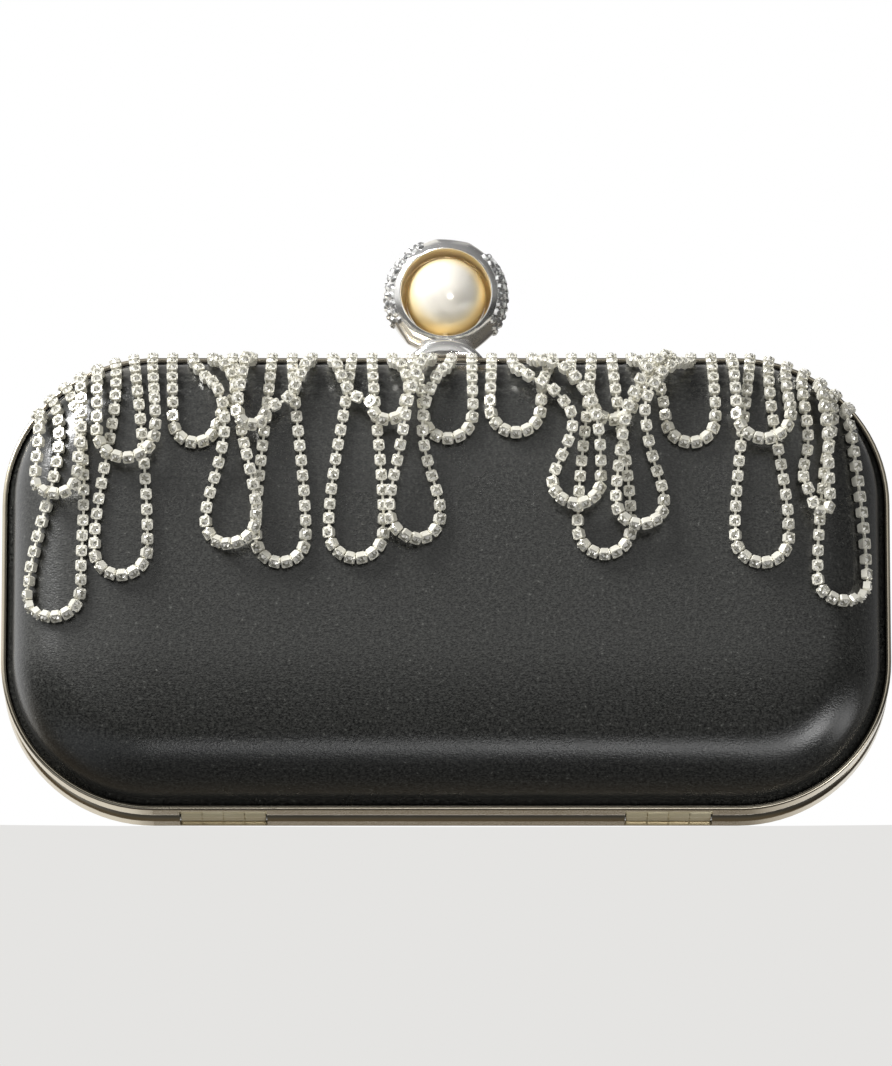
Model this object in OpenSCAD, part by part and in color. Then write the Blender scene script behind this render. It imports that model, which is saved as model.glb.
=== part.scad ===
// Evening bag: a hard box clutch with two satin-covered halves, a hinged metal
// rim frame, a pearl ring clasp on top and a fringe of crystal cup chain.
// Millimetres. +Z up, the front faces -Y, the hinges are at the bottom.

/* [Body] */
// Width across the rim frame
body_w = 210; // [190:1:240]
// Height across the rim frame, clasp left out
body_h = 110; // [104:1:130]
// Corner radius of the rim frame in front view
corner_r = 36; // [34:1:42]
// Depth of one half, from the parting plane to the crown of its face
half_depth = 28; // [25:0.5:32]

/* [Rim frame] */
// Depth of one rim, from the parting plane to its lip
rim_depth = 9; // [8.5:0.1:11]
// Sheet thickness of the rim's outer wall
rim_wall = 1.2; // [1:0.1:1.5]
// Radius that rolls the rim's wall into its mating flange
rim_round = 3.5; // [3.3:0.1:4]
// How far the mating flange reaches in from the outline
flange_reach = 7; // [6.2:0.1:9]
// Thickness of the mating flange
flange_t = 1.6; // [1.4:0.1:2]
// Gap between the two rims when the bag is shut
parting_gap = 0.3; // [0.2:0.05:0.5]

/* [Panels] */
// Side gap between the rim's wall and the satin, at the flange
seat_gap = 0.7; // [0.6:0.1:1]
// End gap between the flange and the edge of the panel
edge_gap = 0.5; // [0.4:0.1:0.8]
// Thickness of the satin cover
cover_t = 0.6; // [0.4:0.1:0.9]
// Thickness of the moulded board
board_t = 1.6; // [1.2:0.1:2.2]
// Thickness of the lining
lining_t = 0.6; // [0.4:0.1:0.9]
// Glue line between the layers
glue_gap = 0.05; // [0.03:0.01:0.1]
// Draft of the straight flank, in degrees
draft = 6; // [4:0.5:8]
// Depth at which the straight flank ends and the shoulder starts
flank_depth = 12.5; // [12:0.1:13.5]
// Slope of the face where the shoulder meets the crown, in degrees
crown_slope = 10; // [7:0.5:12]

/* [Hinges] */
// Distance of each hinge from the middle of the bag
hinge_x = 52.5; // [40:0.5:56]
// Length of a hinge
hinge_len = 20; // [16:0.5:26]
// Knuckles on a hinge, both leaves together
knuckles = 4; // [4:2:6]
// Outer radius of a knuckle
knuckle_r = 1.6; // [1.5:0.05:1.65]
// Height of the hinge line above the ground
hinge_z = 1.75; // [1.7:0.05:1.8]
// Radius of a hinge pin
pin_r = 0.75; // [0.6:0.05:0.9]
// Radial running clearance on every pin
pin_clear = 0.05; // [0.03:0.01:0.08]
// Gap between neighbouring knuckles
knuckle_gap = 0.2; // [0.15:0.05:0.3]
// Thickness of a hinge leaf
leaf_t = 0.8; // [0.6:0.1:1]
// Clearance round the knuckles in the rims
notch_gap = 0.3; // [0.2:0.05:0.35]
// Reach of the rims' cut-outs at a hinge, from the parting plane
hinge_window = 7.5; // [5:0.25:7.75]
// Thickness of the hinge plates in those cut-outs
plate_t = 0.8; // [0.7:0.05:0.9]
// Height of the rounded scales under a hinge plate
scale_h = 0.35; // [0.2:0.05:0.4]

/* [Clasp] */
// Largest outer radius of the clasp ring
ring_r = 14.7; // [13.5:0.1:15]
// Outer radius of the clasp ring at its two edges
ring_edge_r = 11.4; // [11.2:0.1:12]
// Bore radius of the clasp ring
ring_bore_r = 10.7; // [10.2:0.1:10.8]
// Depth of the clasp ring, front edge to back edge
ring_depth = 11; // [10:0.5:11]
// Height of the ring's centre above the top of the rims
ring_rise = 17.1; // [16.8:0.1:17.8]
// Radius of the pearl
pearl_r = 9.6; // [9:0.1:9.8]
// Radius of the post that carries the ring and the pearl
post_r = 1; // [0.8:0.05:1.2]
// Width of the saddle under the ring
saddle_w = 18; // [16:0.5:20]
// Height of the saddle
saddle_h = 4.8; // [4.5:0.1:5.2]
// Gap under the saddle, which the tilt takes up
saddle_gap = 0.9; // [0.8:0.05:1.1]
// Reach of the saddle in front of the parting plane
saddle_front = 6.3; // [6:0.1:7]
// Reach of the saddle behind the parting plane
saddle_back = 4.2; // [3.5:0.1:4.4]
// Width of the clasp lever
lever_w = 8; // [6:0.5:9]
// Depth of the lever's neck
neck_depth = 3.6; // [3:0.1:4]
// Radius of the lever's pivot hub
hub_r = 2.2; // [2:0.1:2.4]
// Radius of the lever's pivot pin
pivot_r = 1; // [0.8:0.05:1.2]
// Thickness of the clasp's sheet metal
clasp_sheet = 1.2; // [1:0.1:1.4]
// Gap that the hook leaves over the catch
hook_gap = 0.4; // [0.3:0.05:0.6]
// Radius of a crystal in the ring
crystal_r = 1.2; // [1:0.05:1.3]
// Crystal places round the ring
crystal_places = 26; // [20:1:28]

/* [Fringe] */
// Distance between neighbouring chain ends along the top edge, on a bag 210 wide
end_pitch = 4.72; // [4.5:0.02:4.8]
// Offset of the whole row of chain ends to the right
end_shift = -1; // [-2:0.1:2]
// Distance between neighbouring cups on a chain
cup_pitch = 3.7; // [3.4:0.1:4.2]
// Half the side of a cup
cup_half = 1.25; // [1:0.05:1.3]
// Half the side of the link between two cups
link_half = 0.5; // [0.4:0.05:0.7]
// Gap between a chain and what it lies on
chain_gap = 0.4; // [0.35:0.05:0.6]
// Distance between chains that cross on top of each other
layer_pitch = 2.9; // [2.8:0.05:3.2]
// Thickness of the tape that the chain ends are sewn to
tape_t = 0.5; // [0.4:0.05:0.6]

/* [Hidden] */
$fn = 48;
eps = 0.01;

// Rim section, in (d, f): d inwards from the outline, f forwards from the parting plane.
rim_f0 = parting_gap / 2;
rim_f1 = rim_f0 + rim_round;
lip_r = rim_wall / 2;

// Panel section. It starts at the edge of the satin and ends over the corner's centre.
panel_f0 = rim_f0 + flange_t + edge_gap;
panel_d0 = rim_wall + seat_gap;
flank_d = panel_d0 + (flank_depth - panel_f0) * tan(draft);
crown_k = tan(crown_slope / 2);
shoulder_r = (half_depth - flank_depth - crown_k * (corner_r - flank_d))
    / (cos(crown_slope) - sin(draft) - crown_k * (cos(draft) - sin(crown_slope)));
shoulder_c = [flank_d + shoulder_r * cos(draft), flank_depth - shoulder_r * sin(draft)];
shoulder_end = shoulder_c + shoulder_r * [-sin(crown_slope), cos(crown_slope)];
crown_r = (corner_r - shoulder_end[0]) / sin(crown_slope);
crown_c = [corner_r, half_depth - crown_r];
crown_steps = 8;
lap = 0.1;

// Layers of a panel, as depths below the satin's outer face.
cover_in = cover_t;
board_out = cover_in + glue_gap;
board_in = board_out + board_t;
lining_out = board_in + glue_gap;
lining_in = lining_out + lining_t;

// Hinges.
knuckle_pitch = hinge_len / knuckles;
notch_r = knuckle_r + notch_gap;
pin_over = notch_gap - 0.1;
plate_rise = 0.4;
plate_z = hinge_z - knuckle_r + plate_rise;
plate_f0 = notch_r;
plate_f1 = hinge_window - notch_gap;
tab_f = pin_r + 0.15;
scale_half = knuckle_pitch / 2 - knuckle_gap;
scale_r = (pow((plate_f1 - plate_f0) / 2, 2) + pow(scale_h, 2)) / (2 * scale_h);

// Clasp. Heights count from the ground, depths from the parting plane.
top_z = body_h;
ring_z = top_z + ring_rise;
ring_arc_r = (pow(ring_depth / 2, 2) + pow(ring_r - ring_edge_r, 2)) / (2 * (ring_r - ring_edge_r));
ring_gap = 0.15;
saddle_z = top_z + saddle_gap;
saddle_arc_r = (pow(saddle_w / 2, 2) + pow(saddle_h, 2)) / (2 * saddle_h);
pivot_f = -2.2;
pivot_drop = 4.4;
pivot_z = top_z - pivot_drop;
post_sink = 0.3;
post_z = pivot_z + hub_r - post_sink;
post_in_pearl = 4;
ear_gap = 0.2;
ear_t = 1.4;
hub_over = 1;
ear_x = lever_w / 2 + hub_over + ear_gap;
slot_gap = 0.3;
slot_half = ear_x + ear_t + slot_gap;
slot_front = 4.2;
sheet_gap = 0.2;
slot_back = saddle_back + sheet_gap;
shelf_z = top_z - rim_wall;
arm_z = pivot_z - hub_r;
arm_t = 1.6;
hook_f = 4.3;
hook_t = 1.3;
hook_drop = 1.1;
catch_inset = 0.6;
catch_front = rim_depth - catch_inset;
hook_play = 0.7;
catch_lip_f = hook_f - hook_play;
catch_lip_h = 1.5;
catch_half = 8;
bracket_inset = 0.4;
bracket_back = rim_depth - bracket_inset;
tail_f = -7.2;
tail_t = 1.2;
spring_t = 0.4;
spring_gap = 0.1;
spring_half = 2.5;
spring_tip = -4.6;
bay_half = 13;
bay_h = 14;
bay_z = top_z - bay_h;
bracket_side = 3;
bracket_drop = 2;
ear_front = 0.2;
seat_clear = 0.05;
crystal_sink = 0.5;
crystal_h = 0.9;
crystal_skip = 28;

// Fringe. The chain ends and the loops spread with the bag's width.
spread = body_w / 210;
end_count = 44;
end_step = end_pitch * spread;
end_set = 1;
end_f = flank_depth - end_set;
end_d = panel_d0 + (end_f - panel_f0) * tan(draft);
tape_lap = 0.3;
tape_f0 = rim_depth - tape_lap;
tape_f1 = flank_depth - sheet_gap;
tape_clear = 0.05;
tape_over = 3;
tape_span = (end_count - 1) / 2 * end_step + abs(end_shift) + tape_over;
ramp_start = 6;
ramp = 9;
chain_base = chain_gap + cup_half;
path_steps = 14;
edge_run = 1.2;

// One row per chain loop: first end, second end, layer, bends of the first strand,
// [offset, drop, half width] of the bottom, bends of the second strand.
// A bend is [offset from its own end, drop from the top of the rims], and the
// bottom's offset counts from the middle between the two ends.
LOOPS = [
    [0, 3, 1, [], [0.6, 39, 4.2], []],
    [1, 2, 0, [], [-0.2, 68, 5.9], []],
    [4, 7, 1, [], [0.8, 31, 6.7], []],
    [5, 6, 0, [], [-0.3, 58.5, 6.2], []],
    [8, 11, 0, [], [-1.3, 26.5, 5.3], [[0.8, 14]]],
    [9, 10, 1, [[6.8, 15.5], [8, 23.5]], [7.2, 51.5, 6], [[5.3, 12.5], [7.2, 23.5]]],
    [12, 15, 2, [[-1.8, 11.5]], [-7.2, 24, 3.2], [[-5.3, 16]]],
    [13, 14, 0, [], [0, 55.5, 5.9], []],
    [16, 19, 1, [[4.7, 15.5]], [6.2, 22, 4], [[4, 14]]],
    [17, 18, 0, [], [-1.2, 54.5, 6.5], []],
    [20, 23, 0, [[1.9, 11.5]], [1.5, 25.5, 5.8], []],
    [21, 22, 2, [[-5, 16], [-6.6, 24.5]], [-6.3, 50, 6], [[-6, 17], [-6.9, 24.5]]],
    [24, 27, 0, [], [-1.5, 24, 6], [[-2.3, 12.5]]],
    [25, 26, 2, [[2.5, 10.5], [9, 14], [13, 18], [14.2, 23]], [12.8, 42, 5.7],
        [[3, 9], [9.5, 12.8], [13.6, 17.5], [15.4, 24]]],
    [28, 31, 1, [[0, 11.5]], [2.5, 22, 5], [[3.6, 11.5]]],
    [29, 30, 0, [], [0.4, 53.5, 6.3], []],
    [32, 35, 0, [[1.9, 12.5]], [1.9, 26.5, 5.9], []],
    [33, 34, 2, [[-1.5, 8.5], [-6.5, 12.5], [-10.2, 18.5], [-11.8, 26]], [-10.1, 47, 5.7],
        [[-4, 9.5], [-9, 14.5], [-11.1, 18.5], [-10.8, 25]]],
    [36, 39, 1, [], [0.6, 26.5, 6.2], []],
    [37, 38, 0, [], [0, 55.5, 6.3], []],
    [40, 41, 1, [[0.6, 26], [-0.8, 35]], [1.2, 43.5, 1.9], [[0.6, 26]]],
    [42, 43, 0, [[-0.9, 19], [-3, 34]], [-0.6, 64, 5.5], [[0, 21]]]
];

// The origin is at the bottom centre of the whole bag's box, so the parting plane
// stands behind it by half of what the fringe adds in front.
top_layer = max([for (l = LOOPS) l[2]]);
fringe_reach = chain_base + top_layer * layer_pitch + cup_half;
parting_y = fringe_reach / 2;

function loop_name(i) = str("fringe_loop_", i < 9 ? "0" : "", i + 1);

// Placing. A half is drawn flat, with the outline in XY and the depth f along +Z.
module stand() {
    translate([0, parting_y, 0]) children();
}
module front_half() {
    stand() translate([0, 0, body_h / 2]) rotate([90, 0, 0]) children();
}
module back_half() {
    stand() translate([0, 0, body_h / 2]) mirror([0, 1, 0]) rotate([90, 0, 0]) children();
}
// A cross-section drawn in (f, z) becomes a bar across X, centred on x.
module bar(x, length) {
    stand() translate([x - length / 2, 0, 0]) rotate([90, 0, 90]) linear_extrude(length) mirror([1, 0]) children();
}
module rod(x, length, f, z, r) {
    stand() translate([x - length / 2, -f, z]) rotate([0, 90, 0]) cylinder(h = length, r = r);
}
module block(x0, x1, f0, f1, z0, z1) {
    stand() translate([x0, -f1, z0]) cube([x1 - x0, f1 - f0, z1 - z0]);
}

// Sweeps a section in (d, f) round the rounded rectangle of the outline.
module round_outline() {
    for (k = [0 : 3]) {
        reach = k % 2 == 0 ? body_w / 2 : body_h / 2;
        side = (k % 2 == 0 ? body_h : body_w) - 2 * corner_r;
        rotate([0, 0, 90 * k]) {
            rotate([90, 0, 0]) linear_extrude(side, center = true)
                translate([reach, 0]) mirror([1, 0]) children();
            translate([reach - corner_r, side / 2, 0]) rotate_extrude(angle = 90)
                translate([corner_r, 0]) mirror([1, 0]) children();
        }
    }
}

// Rim frame.
module rim_section() {
    translate([0, rim_f1]) square([rim_wall, rim_depth - lip_r - rim_f1]);
    translate([lip_r, rim_depth - lip_r]) circle(lip_r);
    intersection() {
        translate([rim_round, rim_f1]) difference() {
            circle(rim_round);
            circle(rim_round - rim_wall);
        }
        translate([0, rim_f0]) square(rim_round);
    }
    translate([rim_round, rim_f0]) square([flange_reach - rim_round, flange_t]);
}
module hinge_pockets() {
    for (x = [-hinge_x, hinge_x]) {
        rod(x, hinge_len + 2 * notch_gap, 0, hinge_z, notch_r);
        block(x - hinge_len / 2, x + hinge_len / 2, -leaf_t - rim_f0, leaf_t + rim_f0, 0, flange_reach);
        block(x - hinge_len / 2 - notch_gap, x + hinge_len / 2 + notch_gap, -hinge_window, hinge_window,
            -1, rim_round);
    }
}
module clasp_slot() {
    block(-slot_half, slot_half, -slot_back, slot_front, bay_z, top_z + 1);
}
module front_frame() {
    color([0.72, 0.66, 0.55]) difference() {
        front_half() round_outline() rim_section();
        hinge_pockets();
        clasp_slot();
    }
}
module back_frame() {
    color([0.72, 0.66, 0.55]) difference() {
        back_half() round_outline() rim_section();
        hinge_pockets();
        clasp_slot();
    }
}

// Panels. A layer lies between two depths below the satin's outer face. Its section
// is a straight flank, a shoulder arc and a flat crown arc, each lapping the next a little.
function on_shoulder(a, t) = shoulder_c + (shoulder_r - t) * [-sin(a), cos(a)];
function on_crown(k, t) = let (a = crown_slope * (1 - k / crown_steps))
    k == 0 ? on_shoulder(crown_slope + lap, t) : crown_c + (crown_r - t) * [-sin(a), cos(a)];
module ring_band(c, r, out, in, a0, a1) {
    mid = (a0 + a1) / 2;
    intersection() {
        translate(c) difference() {
            circle(r - out);
            circle(r - in);
        }
        polygon([for (p = [[0, 0], [a0, 1.5], [mid, 2], [a1, 1.5]]) c + p[1] * r * [-sin(p[0]), cos(p[0])]]);
    }
}
module panel_section(out, in) {
    polygon([[panel_d0 + out / cos(draft), panel_f0], on_shoulder(90 - draft - lap, out),
        on_shoulder(90 - draft - lap, in), [panel_d0 + in / cos(draft), panel_f0]]);
    ring_band(shoulder_c, shoulder_r, out, in, 90 - draft, crown_slope);
    polygon(concat([for (k = [0 : crown_steps]) on_crown(k, out)],
        [for (k = [crown_steps : -1 : 0]) on_crown(k, in)]));
}
module panel_layer(out, in) {
    round_outline() panel_section(out, in);
    translate([0, 0, half_depth - (out + in) / 2])
        cube([body_w - 2 * corner_r, body_h - 2 * corner_r, in - out], center = true);
}
module clasp_bay(f0, f1) {
    block(-bay_half, bay_half, f0, f1, bay_z, top_z);
}
module front_layer(out, in) {
    difference() {
        front_half() panel_layer(out, in);
        clasp_bay(0, rim_depth - sheet_gap);
    }
}
module back_layer(out, in) {
    difference() {
        back_half() panel_layer(out, in);
        clasp_bay(sheet_gap - rim_depth, 0);
    }
}
module front_board() { color([0.45, 0.42, 0.38]) front_layer(board_out, board_in); }
module front_cover() { color([0.07, 0.075, 0.075]) front_layer(0, cover_in); }
module front_lining() { color([0.1, 0.1, 0.11]) front_layer(lining_out, lining_in); }
module back_board() { color([0.45, 0.42, 0.38]) back_layer(board_out, board_in); }
module back_cover() { color([0.07, 0.075, 0.075]) back_layer(0, cover_in); }
module back_lining() { color([0.1, 0.1, 0.11]) back_layer(lining_out, lining_in); }

// Hinges. side is 1 for the front leaf and -1 for the back leaf. A plate fills the rim's
// cut-out, with a rounded scale under each knuckle and a tab to each knuckle of its leaf.
module side_block(side, x0, x1, f0, f1, z0, z1) {
    block(x0, x1, side > 0 ? f0 : -f1, side > 0 ? f1 : -f0, z0, z1);
}
module hinge_plate(x, side) {
    side_block(side, x - hinge_len / 2, x + hinge_len / 2, plate_f0, plate_f1, plate_z + scale_h, plate_z + plate_t);
    for (k = [0 : knuckles - 1]) {
        kx = x - hinge_len / 2 + (k + 0.5) * knuckle_pitch;
        intersection() {
            side_block(side, kx - scale_half, kx + scale_half, plate_f0 + knuckle_gap, plate_f1 - knuckle_gap,
                plate_z - 1, plate_z + scale_h + eps);
            rod(kx, knuckle_pitch, side * (plate_f0 + plate_f1) / 2, plate_z + scale_r, scale_r);
        }
    }
}
module hinge_leaf(x, side) {
    own = side > 0 ? 0 : 1;
    half = (knuckle_pitch - knuckle_gap) / 2;
    color([0.78, 0.71, 0.57]) difference() {
        union() {
            side_block(side, x - hinge_len / 2, x + hinge_len / 2, rim_f0, rim_f0 + leaf_t,
                hinge_z + notch_r, flange_reach);
            for (k = [own : 2 : knuckles - 1]) {
                kx = x - hinge_len / 2 + (k + 0.5) * knuckle_pitch;
                rod(kx, 2 * half, 0, hinge_z, knuckle_r);
                side_block(side, kx - half, kx + half, rim_f0, rim_f0 + leaf_t, hinge_z, hinge_z + notch_r + eps);
                side_block(side, kx - half, kx + half, tab_f, plate_f0 + eps, plate_z + scale_h, plate_z + plate_t);
            }
            hinge_plate(x, side);
        }
        rod(x, hinge_len + 1, 0, hinge_z, pin_r + pin_clear);
    }
}
module hinge_pin(x) {
    color([0.8, 0.74, 0.62]) rod(x, hinge_len + 2 * pin_over, 0, hinge_z, pin_r);
}

// Clasp ring and what it carries.
module ring_section(grow) {
    intersection() {
        translate([ring_r - ring_arc_r, 0]) circle(ring_arc_r + grow);
        translate([ring_bore_r - grow, -ring_depth / 2 - grow]) square([ring_r, ring_depth + 2 * grow]);
    }
}
module at_ring() {
    stand() translate([0, 0, ring_z]) rotate([90, 0, 0]) children();
}
module crystal_seats() {
    for (i = [0 : crystal_places - 1]) {
        a = 90 + i * 360 / crystal_places;
        if (abs((a + 90) % 360 - 0) > crystal_skip && abs((a + 90) % 360 - 360) > crystal_skip)
            at_ring() rotate([0, 0, a]) translate([ring_r - crystal_sink, 0, 0]) rotate([0, 90, 0]) children();
    }
}
module post_bore() {
    stand() translate([0, 0, post_z]) cylinder(h = ring_z - pearl_r + post_in_pearl - post_z + 0.2, r = post_r + seat_clear);
}
module clasp_ring() {
    color([0.8, 0.8, 0.8]) difference() {
        at_ring() rotate_extrude() ring_section(0);
        crystal_seats() cylinder(h = 3, r = crystal_r + seat_clear);
        post_bore();
    }
}
module ring_crystals() {
    color([0.9, 0.92, 0.95]) crystal_seats() {
        translate([0, 0, seat_clear]) cylinder(h = crystal_sink, r = crystal_r);
        translate([0, 0, crystal_sink + seat_clear]) cylinder(h = crystal_h, r1 = crystal_r, r2 = crystal_r / 2);
    }
}
module pearl() {
    color([0.94, 0.89, 0.78]) difference() {
        at_ring() sphere(pearl_r);
        post_bore();
    }
}
module pearl_post() {
    color([0.8, 0.8, 0.8]) stand() translate([0, 0, post_z])
        cylinder(h = ring_z - pearl_r + post_in_pearl - post_z, r = post_r);
}
module clasp_saddle() {
    color([0.78, 0.78, 0.78]) difference() {
        stand() translate([0, saddle_back, saddle_z]) rotate([90, 0, 0]) linear_extrude(saddle_front + saddle_back)
            intersection() {
                translate([0, saddle_h - saddle_arc_r]) circle(saddle_arc_r);
                translate([-saddle_w, 0]) square([2 * saddle_w, saddle_h + 1]);
            }
        at_ring() rotate_extrude() ring_section(ring_gap);
        post_bore();
    }
}

// Clasp lever: neck, hub, hook arm and tail on one pivot.
module clasp_lever() {
    color([0.7, 0.7, 0.7]) difference() {
        union() {
            rod(0, lever_w + 2 * hub_over, pivot_f, pivot_z, hub_r);
            block(-lever_w / 2, lever_w / 2, -neck_depth / 2, neck_depth / 2, pivot_z, saddle_z);
            block(-lever_w / 2, lever_w / 2, pivot_f, hook_f + hook_t, arm_z, arm_z + arm_t);
            block(-lever_w / 2, lever_w / 2, hook_f, hook_f + hook_t, arm_z - hook_drop, arm_z + arm_t);
            block(-spring_half, spring_half, tail_f, pivot_f, pivot_z - tail_t / 2, pivot_z + tail_t / 2);
        }
        rod(0, 2 * lever_w, pivot_f, pivot_z, pivot_r + pin_clear);
        post_bore();
    }
}
module clasp_pivot_pin() {
    color([0.75, 0.75, 0.75]) rod(0, 2 * (ear_x + ear_t), pivot_f, pivot_z, pivot_r);
}
module clasp_bracket() {
    color([0.66, 0.64, 0.6]) difference() {
        union() {
            block(bracket_side - bay_half, bay_half - bracket_side, -bracket_back, -slot_back - sheet_gap,
                shelf_z - clasp_sheet, shelf_z);
            block(-ear_x - ear_t, ear_x + ear_t, -bracket_back, -bracket_back + clasp_sheet, arm_z - bracket_drop, shelf_z);
            for (side = [-1, 1])
                block(side > 0 ? ear_x : -ear_x - ear_t, side > 0 ? ear_x + ear_t : -ear_x,
                    -bracket_back, ear_front, arm_z, shelf_z);
        }
        rod(0, 2 * slot_half, pivot_f, pivot_z, pivot_r + pin_clear);
    }
}
module clasp_spring() {
    leg_f = -bracket_back + clasp_sheet;
    tip_z = pivot_z - tail_t / 2 - spring_gap;
    color([0.6, 0.6, 0.62]) {
        block(-spring_half, spring_half, leg_f, leg_f + spring_t, arm_z - bracket_drop, tip_z);
        block(-spring_half, spring_half, leg_f, spring_tip, tip_z - spring_t, tip_z);
    }
}
module clasp_catch() {
    lip_z = arm_z - hook_drop - hook_gap;
    color([0.66, 0.64, 0.6]) {
        block(-catch_half, catch_half, slot_front + sheet_gap, catch_front, shelf_z - clasp_sheet, shelf_z);
        block(-catch_half, catch_half, catch_front - clasp_sheet, catch_front, lip_z - catch_lip_h - 1, shelf_z);
        block(-catch_half, catch_half, catch_lip_f - 1, catch_front, lip_z - catch_lip_h - 1, lip_z - catch_lip_h);
        block(-catch_half, catch_half, catch_lip_f - 1, catch_lip_f, lip_z - catch_lip_h - 1, lip_z);
    }
}

// Fringe tape: a strip on the satin along the top edge, sewn to the chain ends.
function flank_at(f) = panel_d0 + (f - panel_f0) * tan(draft);
module tape_section() {
    polygon([for (p = [[0, tape_f0], [0, tape_f1], [1, tape_f1], [1, tape_f0]])
        [flank_at(p[1]) - tape_clear - p[0] * tape_t, p[1]]]);
}
module fringe_tape() {
    straight = body_w - 2 * corner_r;
    turn = (tape_span - straight / 2) / corner_r * 180 / PI;
    color([0.12, 0.12, 0.12]) front_half() {
        rotate([0, 0, 90]) rotate([90, 0, 0]) linear_extrude(straight, center = true)
            translate([body_h / 2, 0]) mirror([1, 0]) tape_section();
        for (side = [0, 1]) mirror([side, 0, 0]) translate([-straight / 2, body_h / 2 - corner_r, 0])
            rotate([0, 0, 90]) rotate_extrude(angle = turn) translate([corner_r, 0]) mirror([1, 0]) tape_section();
    }
}

// The satin's front face as functions of (x, drop), drop counting down from the top.
function into_corner(p) = [abs(p[0]) - body_w / 2 + corner_r, abs(body_h / 2 - p[1]) - body_h / 2 + corner_r];
function inset(p) = let (q = into_corner(p))
    q[0] > 0 && q[1] > 0 ? corner_r - norm(q) : corner_r - max(q[0], q[1], 0);
function inward(p) = let (q = into_corner(p), sx = p[0] < 0 ? 1 : -1, sz = p[1] < body_h / 2 ? -1 : 1)
    q[0] > 0 && q[1] > 0 ? [sx * q[0], sz * q[1]] / norm(q)
    : q[0] > q[1] ? [sx, 0] : [0, sz];
function face_f(d) = d < flank_d ? panel_f0 + (d - panel_d0) / tan(draft)
    : d < shoulder_end[0] ? shoulder_c[1] + sqrt(pow(shoulder_r, 2) - pow(d - shoulder_c[0], 2))
    : crown_c[1] + sqrt(pow(crown_r, 2) - pow(min(d, corner_r) - corner_r, 2));
function face_slope(d) = d < flank_d ? 90 - draft
    : d < shoulder_end[0] ? asin((shoulder_c[0] - d) / shoulder_r)
    : asin((corner_r - min(d, corner_r)) / crown_r);
function face_normal(p) = let (a = face_slope(inset(p)), g = inward(p))
    [-sin(a) * g[0], -cos(a), -sin(a) * g[1]];
function face_point(p) = [p[0], -face_f(inset(p)), body_h - p[1]];

// Chain ends along the top edge, as (x, drop).
function chain_end(i) = let (
        s = (i - (end_count - 1) / 2) * end_step + end_shift,
        straight = body_w / 2 - corner_r,
        a = max(0, abs(s) - straight) / corner_r * 180 / PI)
    [sign(s) * (min(abs(s), straight) + (corner_r - end_d) * sin(a)), corner_r - (corner_r - end_d) * cos(a)];

// The route of one loop on the face: end, edge, bends, round bottom, bends, edge, end.
// A row is [x, drop, heading x, heading drop]; a zero heading is taken from the neighbours.
function free(p) = [p[0], p[1], 0, 0];
function edge_of(p) = let (g = inward(p)) free(p + edge_run * [g[0], -g[1]]);
function loop_route(l) = let (a = chain_end(l[0]), b = chain_end(l[1]),
        w = l[4][2] * spread, low = [(a[0] + b[0]) / 2 + l[4][0] * spread, l[4][1] - w])
    concat([free(a), edge_of(a)], [for (k = l[3]) [a[0] + k[0] * spread, k[1], 0, 0]],
        [for (t = [0 : 45 : 180]) [low[0] - w * cos(t), low[1] + w * sin(t), sin(t), cos(t)]],
        [for (k = [len(l[5]) - 1 : -1 : 0]) [b[0] + l[5][k][0] * spread, l[5][k][1], 0, 0]],
        [edge_of(b), free(b)]);
function unit(v) = v / norm(v);
function spot(r) = [r[0], r[1]];
function way(r, i) = unit(spot(r[i + 1]) - spot(r[i]));
function heading(r, i) = r[i][2] != 0 || r[i][3] != 0 ? [r[i][2], r[i][3]]
    : i == 0 ? way(r, 0) : i == len(r) - 1 ? way(r, i - 1) : unit(way(r, i - 1) + way(r, i));
function hermite(p, q, m, n, t) = (2 * t * t * t - 3 * t * t + 1) * p + (t * t * t - 2 * t * t + t) * m
    + (3 * t * t - 2 * t * t * t) * q + (t * t * t - t * t) * n;
function smooth(r) = [for (i = [0 : len(r) - 2]) let (p = spot(r[i]), q = spot(r[i + 1]), l = norm(q - p),
        m = heading(r, i) * l, n = heading(r, i + 1) * l, last = len(r) - 2)
    for (k = [0 : path_steps - (i == last ? 0 : 1)]) let (u = k / path_steps,
        t = i < 2 ? u * u : i > last - 2 ? 1 - (1 - u) * (1 - u) : u)
    hermite(p, q, m, n, t)];
function run_of(p) = [for (i = 0, s = 0; i < len(p); s = s + (i < len(p) - 1 ? norm(p[i + 1] - p[i]) : 0), i = i + 1) s];
function ease(t) = let (u = max(0, min(1, t))) u * u * (3 - 2 * u);
function lift(run, total, layer) = let (u = min(run, total - run))
    chain_base + tape_t * (1 - ease(u / ramp_start)) + layer * layer_pitch * ease((u - ramp_start) / ramp);

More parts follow.
